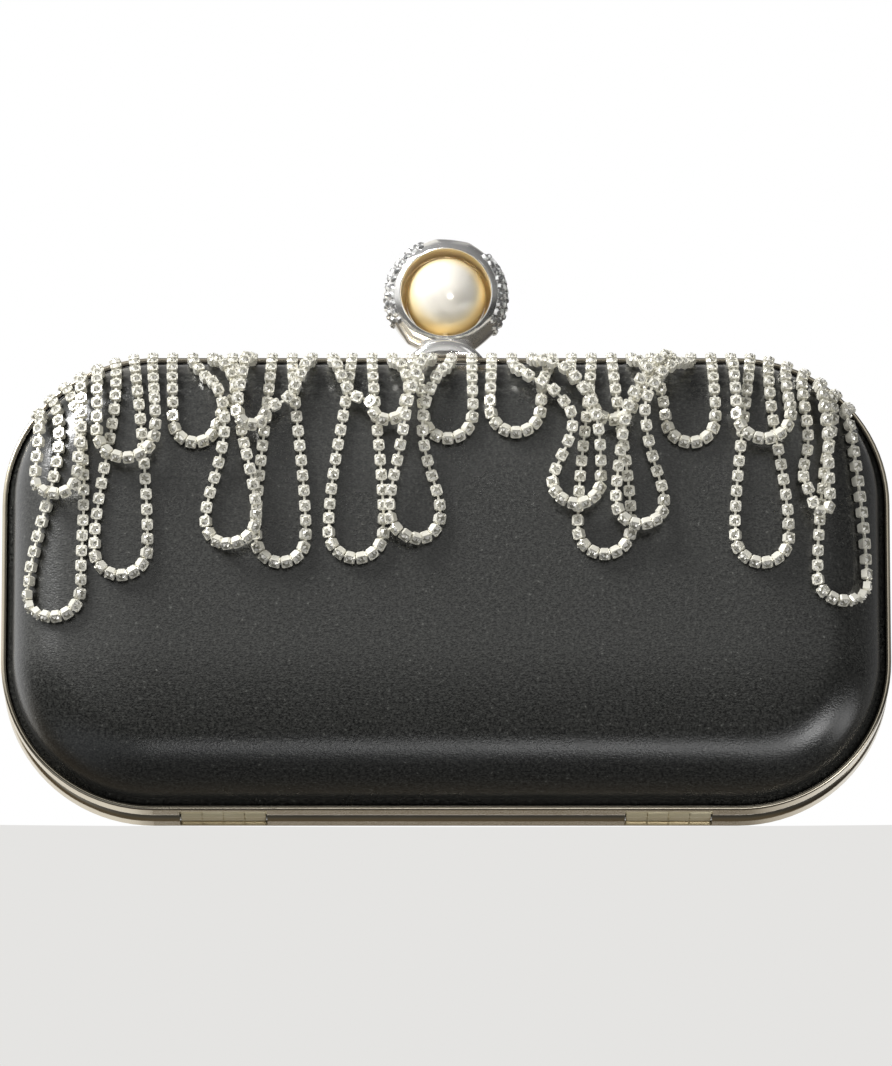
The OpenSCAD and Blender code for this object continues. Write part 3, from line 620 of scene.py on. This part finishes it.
def dress_panels():
    for half, front in (("front", True), ("back", False)):
        body = half + "_half"
        satin = panel_shell(half + "_satin", 0, TUCK, COVER_T, front, SATIN, False)
        add_piece(half + "_satin", satin, body, [half + "_cover"])
        lining = panel_shell(half + "_lining_cloth", LINING_IN, 0, LINING_T, front, LINING, True)
        add_piece(half + "_lining_cloth", lining, body, [half + "_lining"])


def edge_spot(s, d):
    """Where a place along the top edge, s from its middle, lies at inset d: x and z."""
    straight = BODY_W / 2 - CORNER_R
    a = max(0, abs(s) - straight) / CORNER_R
    sign = 1 if s > 0 else -1
    reach = CORNER_R - d
    return sign * (min(abs(s), straight) + reach * math.sin(a)), BODY_H - CORNER_R + reach * math.cos(a)


def dress_tape():
    """The woven strip under the chain ends, with rolled edges."""
    half = (END_COUNT - 1) / 2 * END_PITCH + abs(END_SHIFT) + 3
    steps = 120
    low, roll, high = 0.02, 0.15, 0.38
    glue = 0.05
    section = [
        (low, TAPE_F0 + roll), (low, TAPE_F1 - roll), (roll, TAPE_F1), (high, TAPE_F1),
        (TAPE_T, TAPE_F1 - 0.2), (TAPE_T, TAPE_F0 + 0.2), (high, TAPE_F0), (roll, TAPE_F0)]
    points, flat = [], []
    for s in [-half + 2 * half * i / steps for i in range(steps + 1)]:
        for rise, f in section:
            d = PANEL_D0 + (f - PANEL_F0) * math.tan(DRAFT) - glue - rise
            x, z = edge_spot(s, d)
            points.append((x * MM, (PARTING_Y - f) * MM, z * MM))
            flat.append((s * MM, (f + rise) * MM))
    n = len(section)
    faces = quads(steps + 1, n)
    faces += [tuple(range(n))[::-1], tuple(steps * n + k for k in range(n))]
    mesh = mesh_of("fringe_ribbon", points, faces, TAPE)
    layer = mesh.uv_layers.new(name="cloth")
    for loop in mesh.loops:
        layer.data[loop.index].uv = flat[loop.vertex_index]
    face_out(mesh)
    add_piece("fringe_ribbon", mesh, "front_half", ["fringe_tape"])


# The face under the fringe: a place on it is x and its drop from the top

def into_corner(x, drop):
    """How far a place lies past the centres of the corner arcs, sideways and upright."""
    return abs(x) - BODY_W / 2 + CORNER_R, abs(BODY_H / 2 - drop) - BODY_H / 2 + CORNER_R


def inset(x, drop):
    """The inset d of a place."""
    p, q = into_corner(x, drop)
    return CORNER_R - math.hypot(p, q) if p > 0 and q > 0 else CORNER_R - max(p, q, 0)


def inward(x, drop):
    """The way straight in from the outline at a place, as x and z."""
    p, q = into_corner(x, drop)
    sx = 1 if x < 0 else -1
    sz = -1 if drop < BODY_H / 2 else 1
    if p > 0 and q > 0:
        return sx * p / math.hypot(p, q), sz * q / math.hypot(p, q)
    return (sx, 0) if p > q else (0, sz)


def face_f(d):
    """The height f of the face at inset d: on the flank, the shoulder or the crown."""
    if d < FLANK_D:
        return PANEL_F0 + (d - PANEL_D0) / math.tan(DRAFT)
    if d < SHOULDER_END:
        return SHOULDER_C[1] + math.sqrt(SHOULDER_R ** 2 - (d - SHOULDER_C[0]) ** 2)
    return CROWN_C[1] + math.sqrt(CROWN_R ** 2 - (min(d, CORNER_R) - CORNER_R) ** 2)


def face_slope(d):
    """The tilt of the face at inset d, from 0 in the flat middle."""
    if d < FLANK_D:
        return math.pi / 2 - DRAFT
    if d < SHOULDER_END:
        return math.asin((SHOULDER_C[0] - d) / SHOULDER_R)
    return math.asin((CORNER_R - min(d, CORNER_R)) / CROWN_R)


def face_normal(x, drop):
    a = face_slope(inset(x, drop))
    gx, gz = inward(x, drop)
    return np.array((-math.sin(a) * gx, -math.cos(a), -math.sin(a) * gz))


def face_point(x, drop):
    return np.array((x, PARTING_Y - face_f(inset(x, drop)), BODY_H - drop))


# Cup chain fringe

def chain_end(i):
    """Where a chain end is sewn on, as x and drop."""
    s = (i - (END_COUNT - 1) / 2) * END_PITCH + END_SHIFT
    x, z = edge_spot(s, END_D)
    return np.array((x, BODY_H - z))


def loop_low(loop):
    """The middle of the round bottom of a loop, and its half width."""
    first, second, _, _, (offset, drop, width), _ = loop
    return np.array(((chain_end(first)[0] + chain_end(second)[0]) / 2 + offset, drop - width)), width


def loop_route(loop):
    """The loop on the face as (point, heading): end, edge, bends, round bottom, bends, edge, end."""
    first, second, _, bends, _, bends_back = loop
    a, b = chain_end(first), chain_end(second)
    low, width = loop_low(loop)

    def edge(p):
        gx, gz = inward(*p)
        return p + EDGE_RUN * np.array((gx, -gz)), None

    route = [(a, None), edge(a)]
    route += [(np.array((a[0] + x, z)), None) for x, z in bends]
    for t in np.radians((0, 45, 90, 135, 180)):
        heading = np.array((math.sin(t), math.cos(t)))
        route.append((low + width * np.array((-math.cos(t), math.sin(t))), heading))
    route += [(np.array((b[0] + x, z)), None) for x, z in bends_back[::-1]]
    route += [edge(b), (b, None)]
    return route


def smooth_route(route):
    """A smooth line through the route. Its steps are finer towards the two ends."""
    def way(i):
        step = route[i + 1][0] - route[i][0]
        return step / np.linalg.norm(step)

    last = len(route) - 2
    heads = []
    for i, (_, heading) in enumerate(route):
        if heading is None:
            heading = way(0) if i == 0 else way(last) if i > last else way(i - 1) + way(i)
            heading = heading / np.linalg.norm(heading)
        heads.append(heading)
    line = []
    for i in range(last + 1):
        p, q = route[i][0], route[i + 1][0]
        length = np.linalg.norm(q - p)
        m, n = heads[i] * length, heads[i + 1] * length
        for k in range(PATH_STEPS + (1 if i == last else 0)):
            u = k / PATH_STEPS
            t = u * u if i < 2 else 1 - (1 - u) ** 2 if i > last - 2 else u
            line.append((2 * t ** 3 - 3 * t ** 2 + 1) * p + (t ** 3 - 2 * t ** 2 + t) * m
                        + (3 * t ** 2 - 2 * t ** 3) * q + (t ** 3 - t ** 2) * n)
    return line


def ease(t):
    """A soft step from 0 to 1."""
    u = max(0, min(1, t))
    return u * u * (3 - 2 * u)


def run_lengths(points):
    """The way from the first point to each point along the line."""
    return np.concatenate(([0], np.cumsum(np.linalg.norm(np.diff(points, axis=0), axis=1))))


def edge_on(loop, flat, lies):
    """A cup chain bends only across its flat side, so it turns on edge round the loop's bottom:
    the way it faces at each point, and how much it is bent there, 0 to 1."""
    low, width = loop_low(loop)
    bent = np.array([ease((p[1] - low[1] + width) / (2 * width)) for p in flat])
    ways = []
    for p, lie, turn in zip(flat, lies, bent * EDGE_ON):
        if turn > 0:
            out = np.array((p[0] - low[0], max(0, p[1] - low[1])))
            away = face_point(*(p + 0.1 * out)) - face_point(*p)
            lie = math.cos(turn) * lie + math.sin(turn) * away / np.linalg.norm(away)
        ways.append(lie)
    return np.array(ways), bent


def cup_spots(line, ways, bent):
    """Link, cup, link and so on to the end, closer together where the chain is bent."""
    steps = np.diff(run_lengths(line)) * (1 + CROWDING * (bent[1:] + bent[:-1]) / 2)
    share = np.concatenate(([0], np.cumsum(steps)))
    at = np.linspace(0, share[-1], 2 * round(share[-1] / (CUP_PITCH * MM)) + 1)
    return [np.column_stack([np.interp(at, share, column) for column in part.T]) for part in (line, ways)]


def drape_fringe():
    """Each loop over the satin as (points, the way they face): it lies on the satin, and rises over
    the loops of a lower layer where it crosses them."""
    lines = {}
    for layer in range(3):
        for number, loop in enumerate(LOOPS):
            if loop[2] != layer:
                continue
            flat = np.array(smooth_route(loop_route(loop)))
            skin = np.array([face_point(*p) for p in flat])
            run = run_lengths(skin)
            rise = np.zeros(len(flat))
            for below_flat, below_rise in [line[:2] for line in lines.values() if line[2] < layer]:
                near = np.linalg.norm(flat[:, None] - below_flat[None], axis=2) < CROSS_REACH
                over = np.where(near, below_rise[None] + LAYER_PITCH, 0).max(axis=1)
                rise = np.maximum(rise, over)
            away = np.abs(run[:, None] - run[None])
            rise = np.maximum(0, (rise[None] - DRAPE_SLOPE * np.maximum(0, away - 1)).max(axis=1))
            from_end = np.minimum(run, run[-1] - run)
            rise = np.minimum(rise, layer * LAYER_PITCH) * [ease((u - RAMP_START) / RAMP) for u in from_end]
            seat = CHAIN_BASE + TAPE_T * (1 - np.array([ease(u / RAMP_START) for u in from_end]))
            lies = np.array([face_normal(*p) for p in flat])
            ways, bent = edge_on(loop, flat, lies)
            turn = bent * EDGE_ON
            lift = np.maximum(0, CUP_BASE * np.sin(turn) + CUP_FLOOR * (np.cos(turn) - 1))
            line = (skin + lies * (seat + rise + lift)[:, None]) * MM
            lines[number] = (flat, rise, layer, cup_spots(line, ways, bent))
    return [lines[number][3] for number in range(len(LOOPS))]


def scaled(points):
    """Millimetres to metres."""
    return [tuple(c * MM for c in p) for p in points]


def cup_shape():
    """A square cup with cut corners, a little wider at the top, and a prong over each corner."""
    cut, prong_in, tip, prong_h = 0.35, 0.68, 0.88, 0.4
    around = ((-1, -1), (1, -1), (1, 1), (-1, 1))
    points = []
    for half, z in ((CUP_BASE, -CUP_FLOOR), (CUP_RIM, CUP_SEAT)):
        short = half - cut
        for sx, sy in around:
            pair = [(sx * half, sy * short, z), (sx * short, sy * half, z)]
            points += pair if sx * sy > 0 else pair[::-1]
    faces = [tuple(range(8))[::-1], tuple(range(8, 16))]
    faces += [(k, (k + 1) % 8, 8 + (k + 1) % 8, 8 + k) for k in range(8)]
    for sx, sy in around:
        at = len(points)
        short = CUP_RIM - cut
        points += [(sx * CUP_RIM, sy * short, CUP_SEAT), (sx * short, sy * CUP_RIM, CUP_SEAT),
                   (sx * prong_in, sy * prong_in, CUP_SEAT), (sx * tip, sy * tip, CUP_SEAT + prong_h)]
        turn = [(at, at + 1, at + 3), (at + 1, at + 2, at + 3), (at + 2, at, at + 3)]
        faces += turn if sx * sy > 0 else [t[::-1] for t in turn]
    return scaled(points), faces


def link_shape():
    """The thin bar between two cups."""
    long, wide, low, high = 0.95, 0.28, -0.5, 0.0
    corners = ((-long, -wide), (long, -wide), (long, wide), (-long, wide))
    faces = [(3, 2, 1, 0), (4, 5, 6, 7)]
    faces += [(k, (k + 1) % 4, 4 + (k + 1) % 4, 4 + k) for k in range(4)]
    return scaled([(x, y, z) for z in (low, high) for x, y in corners]), faces


def stone_shape(girdle, table, low, high):
    """A round stone: an eight-sided table, two tiers of crown facets and a closed foot."""
    sides = 8
    eighths = np.arange(sides) * math.tau / sides
    ring = [(girdle * math.cos(a), girdle * math.sin(a), low) for a in eighths]
    top = [(table * math.cos(a), table * math.sin(a), high) for a in eighths + math.pi / sides]
    faces = [tuple(range(sides))[::-1], tuple(range(sides, 2 * sides))]
    for k in range(sides):
        n = (k + 1) % sides
        faces += [(k, n, sides + k), (n, sides + n, sides + k)]
    return scaled(ring + top), faces


def pattern(name, shape, painted_glints=None):
    """A small mesh that is set out many times, with a painted glint brightness on each facet."""
    points, faces = shape
    mesh = bpy.data.meshes.new(name)
    mesh.from_pydata(points, [], faces)
    painted_glint = mesh.attributes.new("facet_tone", "FLOAT", "FACE")
    painted_glint.data.foreach_set("value", painted_glints if painted_glints is not None else [1.0] * len(faces))
    return put(name, mesh)


def gem_pattern(name, shape, seed):
    """A stone with painted glints: its facets are painted bright or dark by chance, and its table is
    painted dim as painted shade.
    """
    pick = np.random.default_rng(seed)
    # Painted glints: random bright or dark facets, and a dim painted table.
    painted_glints = np.where(pick.uniform(0.0, 1.0, len(shape[1])) > 0.5, 1.0, 0.1)
    painted_glints[1] = 0.2
    return pattern(name, shape, painted_glints.astype(np.float32))


def geometry_tree(name, inputs):
    """An empty tree, the outputs of its group input, and the key of each input by its label."""
    tree = bpy.data.node_groups.new(name, "GeometryNodeTree")
    for way in ("INPUT", "OUTPUT"):
        tree.interface.new_socket("Geometry", in_out=way, socket_type="NodeSocketGeometry")
    keys = {}
    for label, kind in inputs.items():
        socket = tree.interface.new_socket(label, in_out="INPUT", socket_type="NodeSocket" + kind)
        keys[label] = socket.identifier
    return tree, add(tree, "NodeGroupInput").outputs, keys


def lie_rotation(tree, along):
    """Turns a pattern so that its Z stands on the surface and its X runs along the row."""
    lie = add(tree, "GeometryNodeInputNamedAttribute", {"Name": "lie"}, data_type="FLOAT_VECTOR")
    stand = add(tree, "FunctionNodeAlignRotationToVector", {"Vector": lie.outputs["Attribute"]}, axis="Z")
    run = {"Rotation": stand.outputs[0], "Vector": along}
    return add(tree, "FunctionNodeAlignRotationToVector", run, axis="X", pivot_axis="Z").outputs[0]


def set_out(tree, points, thing, rotation, material, chosen=True):
    """Copies of a pattern on the chosen points, made real, with their material."""
    info = add(tree, "GeometryNodeObjectInfo", {"Object": thing})
    copies = add(tree, "GeometryNodeInstanceOnPoints", {
        "Points": points, "Selection": chosen, "Instance": info.outputs["Geometry"], "Rotation": rotation})
    real = add(tree, "GeometryNodeRealizeInstances", {0: copies.outputs[0]})
    painted = add(tree, "GeometryNodeSetMaterial", {"Geometry": real.outputs[0], "Material": material})
    return painted.outputs[0]


def turned(tree, rotation, seed, tilt):
    """A random turn of each stone in its seat, with a slight tilt."""
    minus = calc(tree, "MULTIPLY", tilt, -1)
    low = add(tree, "ShaderNodeCombineXYZ", {"X": minus, "Y": minus, "Z": 0}).outputs[0]
    high = add(tree, "ShaderNodeCombineXYZ", {"X": tilt, "Y": tilt, "Z": math.tau}).outputs[0]
    span = {"Min": low, "Max": high, "Seed": seed}
    chance = add(tree, "FunctionNodeRandomValue", span, data_type="FLOAT_VECTOR").outputs[0]
    turn = {"Rotation": rotation, "Rotate By": chance}
    return add(tree, "FunctionNodeRotateRotation", turn, rotation_space="LOCAL").outputs[0]


def join_out(tree, parts):
    """Joins the parts, in order, as the output of the tree."""
    join = add(tree, "GeometryNodeJoinGeometry")
    for part in parts:
        tree.links.new(part, join.inputs[0])
    add(tree, "NodeGroupOutput", {"Geometry": join.outputs[0]})


def make_chain_tree():
    """Links and set cups by turns at the points of each line of the mesh."""
    tree, given, keys = geometry_tree("cup_chain", {
        "Stone seed": "Int", "Stone tilt": "Float", "Cup": "Object", "Link": "Object",
        "Stone": "Object", "Cup metal": "Material", "Crystal": "Material"})
    line = add(tree, "GeometryNodeMeshToCurve", {0: given["Geometry"]}).outputs[0]
    place = add(tree, "GeometryNodeSplineParameter").outputs
    odd = calc(tree, "MODULO", place["Index"], 2)
    inner = calc(tree, "MULTIPLY", calc(tree, "GREATER_THAN", place["Factor"], 0.001),
                 calc(tree, "LESS_THAN", place["Factor"], 0.999))
    even = calc(tree, "MULTIPLY", calc(tree, "SUBTRACT", 1, odd), inner)
    rotation = lie_rotation(tree, add(tree, "GeometryNodeInputTangent").outputs[0])
    stone_rotation = turned(tree, rotation, given["Stone seed"], given["Stone tilt"])
    join_out(tree, (
        set_out(tree, line, given["Cup"], rotation, given["Cup metal"], odd),
        set_out(tree, line, given["Link"], rotation, given["Cup metal"], even),
        set_out(tree, line, given["Stone"], stone_rotation, given["Crystal"], odd)))
    return tree, keys


def row_object(name, lines):
    """A mesh of open lines or single points, each point with the way its surface faces."""
    points, lies, edges = [], [], []
    for line, faces in lines:
        at = len(points)
        points += [tuple(p) for p in line]
        lies += [c for n in faces for c in n]
        edges += [(at + k, at + k + 1) for k in range(len(line) - 1)]
    mesh = bpy.data.meshes.new(name)
    mesh.from_pydata(points, edges, [])
    lie = mesh.attributes.new("lie", "FLOAT_VECTOR", "POINT")
    lie.data.foreach_set("vector", lies)
    return put(name, mesh)


def grown(thing, tree, keys, values):
    """Runs a node tree on an object and gives back the plain mesh."""
    step = thing.modifiers.new("grow", "NODES")
    step.node_group = tree
    for label, value in values.items():
        step[keys[label]] = value
    return plain_mesh(thing)


def dress_fringe():
    tree, keys = make_chain_tree()
    lines = drape_fringe()
    cup = pattern("cup_pattern", cup_shape())
    link = pattern("link_pattern", link_shape())
    gem = gem_pattern("stone_pattern", stone_shape(girdle=1.04, table=0.52, low=0.4, high=0.93), 4)
    for number, (body, loops) in enumerate(FRINGE_BODIES.items()):
        name = body.replace("fringe", "cup_chain")
        row = row_object(name, [lines[k - 1] for k in loops])
        mesh = grown(row, tree, keys, {
            "Stone seed": 11 + number, "Stone tilt": 0.12, "Cup": cup, "Link": link, "Stone": gem,
            "Cup metal": CUP_SILVER, "Crystal": STONE})
        add_piece(name, mesh, body, [f"fringe_loop_{k:02d}" for k in loops])
    for thing in (cup, link, gem):
        bpy.data.objects.remove(thing)


# Clasp

def hammered(a):
    """Share of the full radius at an angle round the ring: flats that meet at soft corners."""
    start, depth = 0.3, 0.6
    flat = math.tau / RING_FLATS
    off = (a + start * flat) % flat - flat / 2
    return 1 - depth * (1 - math.cos(flat / 2) / math.cos(off))


def barrel_r(f):
    """The radius of the ring's barrel at f from its middle."""
    return RING_R - RING_ARC_R + math.sqrt(RING_ARC_R ** 2 - f * f)


def dress_ring():
    """The barrel ring: a gilt bore with a seat behind the pearl, round edges and hammered flats."""
    half = RING_DEPTH / 2
    edge = 0.35
    sunk, slack = 0.12, 0.12
    steps = 132
    seat_r = math.sqrt(PEARL_R ** 2 - PEARL_SEAT_F ** 2) + slack
    bore = [(RING_BORE_R, -half + edge), (RING_BORE_R, PEARL_SEAT_F - 0.8), (seat_r, PEARL_SEAT_F - 0.6),
            (seat_r, PEARL_SEAT_F), (RING_BORE_R, PEARL_SEAT_F + 0.5), (RING_BORE_R, half - edge)]
    front = [(RING_BORE_R + edge - edge * math.cos(a), half - edge + edge * math.sin(a))
             for a in np.radians((30, 60, 90))]
    barrel = [(barrel_r(f) - sunk, f) for f in np.linspace(half - 0.2, -half + 0.2, 25)]
    back = [(r, -f) for r, f in front[::-1]]
    section = bore + front + barrel + back
    points = []
    for a in [math.tau * i / steps for i in range(steps)]:
        for r, f in section:
            outside = max(0, (r - RING_EDGE_R) / (RING_R - RING_EDGE_R))
            r -= outside * RING_R * (1 - hammered(a))
            points.append((r * math.sin(a) * MM, (PARTING_Y - f) * MM, (RING_Z + r * math.cos(a)) * MM))
    n = len(section)
    mesh = mesh_of("pearl_ring", points, quads(steps, n, closed=True), RING_SILVER)
    mesh.materials.append(BORE_GILT)
    for face in mesh.polygons:
        face.material_index = 1 if face.index % n < len(bore) - 1 else 0
    face_out(mesh)
    mesh.set_sharp_from_angle(angle=math.radians(24))
    add_piece("pearl_ring", mesh, "clasp", ["clasp_ring"])


def make_pave_tree():
    """Stones and their beads on points that know which way they face."""
    tree, given, keys = geometry_tree("pave_stones", {
        "Stone seed": "Int", "Stone tilt": "Float", "Stone": "Object", "Crystal": "Material",
        "Bead": "Object", "Bead metal": "Material"})
    spots = given["Geometry"]
    rotation = lie_rotation(tree, add(tree, "ShaderNodeCombineXYZ", {"Y": 1}).outputs[0])
    stone_rotation = turned(tree, rotation, given["Stone seed"], given["Stone tilt"])
    join_out(tree, (
        set_out(tree, spots, given["Stone"], stone_rotation, given["Crystal"]),
        set_out(tree, spots, given["Bead"], rotation, given["Bead metal"])))
    return tree, keys


def bead_shape(reach, size):
    """Four small prongs round a stone, each a low pyramid."""
    points, faces = [], []
    for k in range(4):
        a = math.tau * (k + 0.5) / 4
        x, y = reach * math.cos(a), reach * math.sin(a)
        at = len(points)
        points += [(x + size * dx, y + size * dy, 0.0) for dx, dy in ((-1, -1), (1, -1), (1, 1), (-1, 1))]
        points.append((x * 0.93, y * 0.93, size * 1.6))
        faces += [(at + 3, at + 2, at + 1, at)] + [(at + j, at + (j + 1) % 4, at + 4) for j in range(4)]
    return scaled(points), faces


def dress_pave():
    """Staggered rows of small stones on the ring's two sides."""
    sunk = 0.3
    spots = []
    for row, slant in enumerate((-40, -20, 0, 20, 40)):
        lean = math.radians(slant)
        f = RING_ARC_R * math.sin(lean)
        r = barrel_r(f) - sunk
        count = round(math.tau * r / PAVE_PITCH)
        for k in range(count):
            a = math.tau * (k + 0.5 * (row % 2)) / count
            turn = math.degrees(a) - 360 * (a > math.pi)
            if not (PAVE_LEFT[0] < turn < PAVE_LEFT[1] or PAVE_RIGHT[0] < turn < PAVE_RIGHT[1]):
                continue
            x, z = math.sin(a), math.cos(a)
            spot = (r * x * MM, (PARTING_Y - f) * MM, (RING_Z + r * z) * MM)
            spots.append(([spot], [(x * math.cos(lean), -math.sin(lean), z * math.cos(lean))]))
    gem = gem_pattern("pave_pattern", stone_shape(girdle=0.98, table=0.55, low=0.0, high=0.6), 9)
    bead = pattern("bead_pattern", bead_shape(reach=1.06, size=0.18))
    tree, keys = make_pave_tree()
    mesh = grown(row_object("ring_pave", spots), tree, keys, {
        "Stone seed": 5, "Stone tilt": 0.18, "Stone": gem, "Crystal": PAVE_STONE,
        "Bead": bead, "Bead metal": RING_SILVER})
    add_piece("ring_pave", mesh, "clasp", ["ring_crystals"])
    for thing in (gem, bead):
        bpy.data.objects.remove(thing)


def dress_pearl():
    """A pearl that is not quite round, with a drilled dimple at its foot."""
    drill, drill_depth = 0.985, 0.05
    ball = bmesh.new()
    bmesh.ops.create_uvsphere(ball, u_segments=72, v_segments=48, radius=PEARL_R * MM)
    for vert in ball.verts:
        way = vert.co.normalized()
        wander = 0.0018 * math.sin(3 * way.x + 1.2) * math.cos(2 * way.z)
        wander += 0.0012 * math.sin(4 * way.y + way.z)
        dimple = drill_depth * max(0, -way.z - drill) / (1 - drill)
        vert.co *= 1 - abs(wander) - dimple
        vert.co += Vector((0, PARTING_Y * MM, RING_Z * MM))
    for face in ball.faces:
        face.smooth = True
    mesh = bpy.data.meshes.new("cream_pearl")
    ball.to_mesh(mesh)
    ball.free()
    mesh.materials.append(PEARL)
    add_piece("cream_pearl", mesh, "clasp", ["pearl"])


def dress_saddle():
    """The arched seat under the ring, with a pillowed front."""
    arc_r = ((SADDLE_W / 2) ** 2 + SADDLE_H ** 2) / (2 * SADDLE_H)
    sweep = math.asin(SADDLE_W / 2 / arc_r)
    arch = [(arc_r * math.sin(a), SADDLE_H - arc_r + arc_r * math.cos(a))
            for a in np.linspace(-sweep, sweep, 33)]
    middle = SADDLE_H * 0.4
    pillow = [(0.2, 0), (0.45, 0.12), (0.7, 0.36), (0.85, 0.7), (0.95, 1.2), (1, 2)]
    rows = [(size, SADDLE_FRONT - back) for size, back in pillow]
    rows += [(1, 0.4 - SADDLE_BACK), (0.94, -SADDLE_BACK)]
    points = [(x * size * MM, (PARTING_Y - f) * MM, (SADDLE_Z + middle + (z - middle) * size) * MM)
              for size, f in rows for x, z in arch]
    n = len(arch)
    faces = [tuple(range(n)), tuple(range((len(rows) - 1) * n, len(rows) * n))[::-1]]
    mesh = mesh_of("ring_saddle", points, faces + quads(len(rows), n), RING_SILVER)
    face_out(mesh)
    mesh.set_sharp_from_angle(angle=math.radians(50))
    add_piece("ring_saddle", mesh, "clasp", ["clasp_saddle"])


# Pieces that stay as the part's own solids

def finish_solids():
    hinges = [f"hinge_{side}_{piece}" for side in ("left", "right")
              for piece in ("front_leaf", "back_leaf", "pin")]
    finishes = (
        (FRAME_METAL, ("front_frame", "back_frame")),
        (HINGE_METAL, hinges),
        (CLASP_STEEL, ("clasp_catch", "clasp_bracket", "clasp_pivot_pin", "clasp_spring", "clasp_lever")),
        (RING_SILVER, ("pearl_post",)),
        (BOARD, ("front_board", "back_board")))
    for material, names in finishes:
        for name in names:
            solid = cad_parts[name].data
            solid.materials.clear()
            solid.materials.append(material)


scene.view_settings.view_transform = "Standard"
set_camera()
set_world()
set_lights()
set_floor()
finish_solids()
dress_panels()
dress_tape()
dress_fringe()
dress_ring()
dress_pave()
dress_pearl()
dress_saddle()
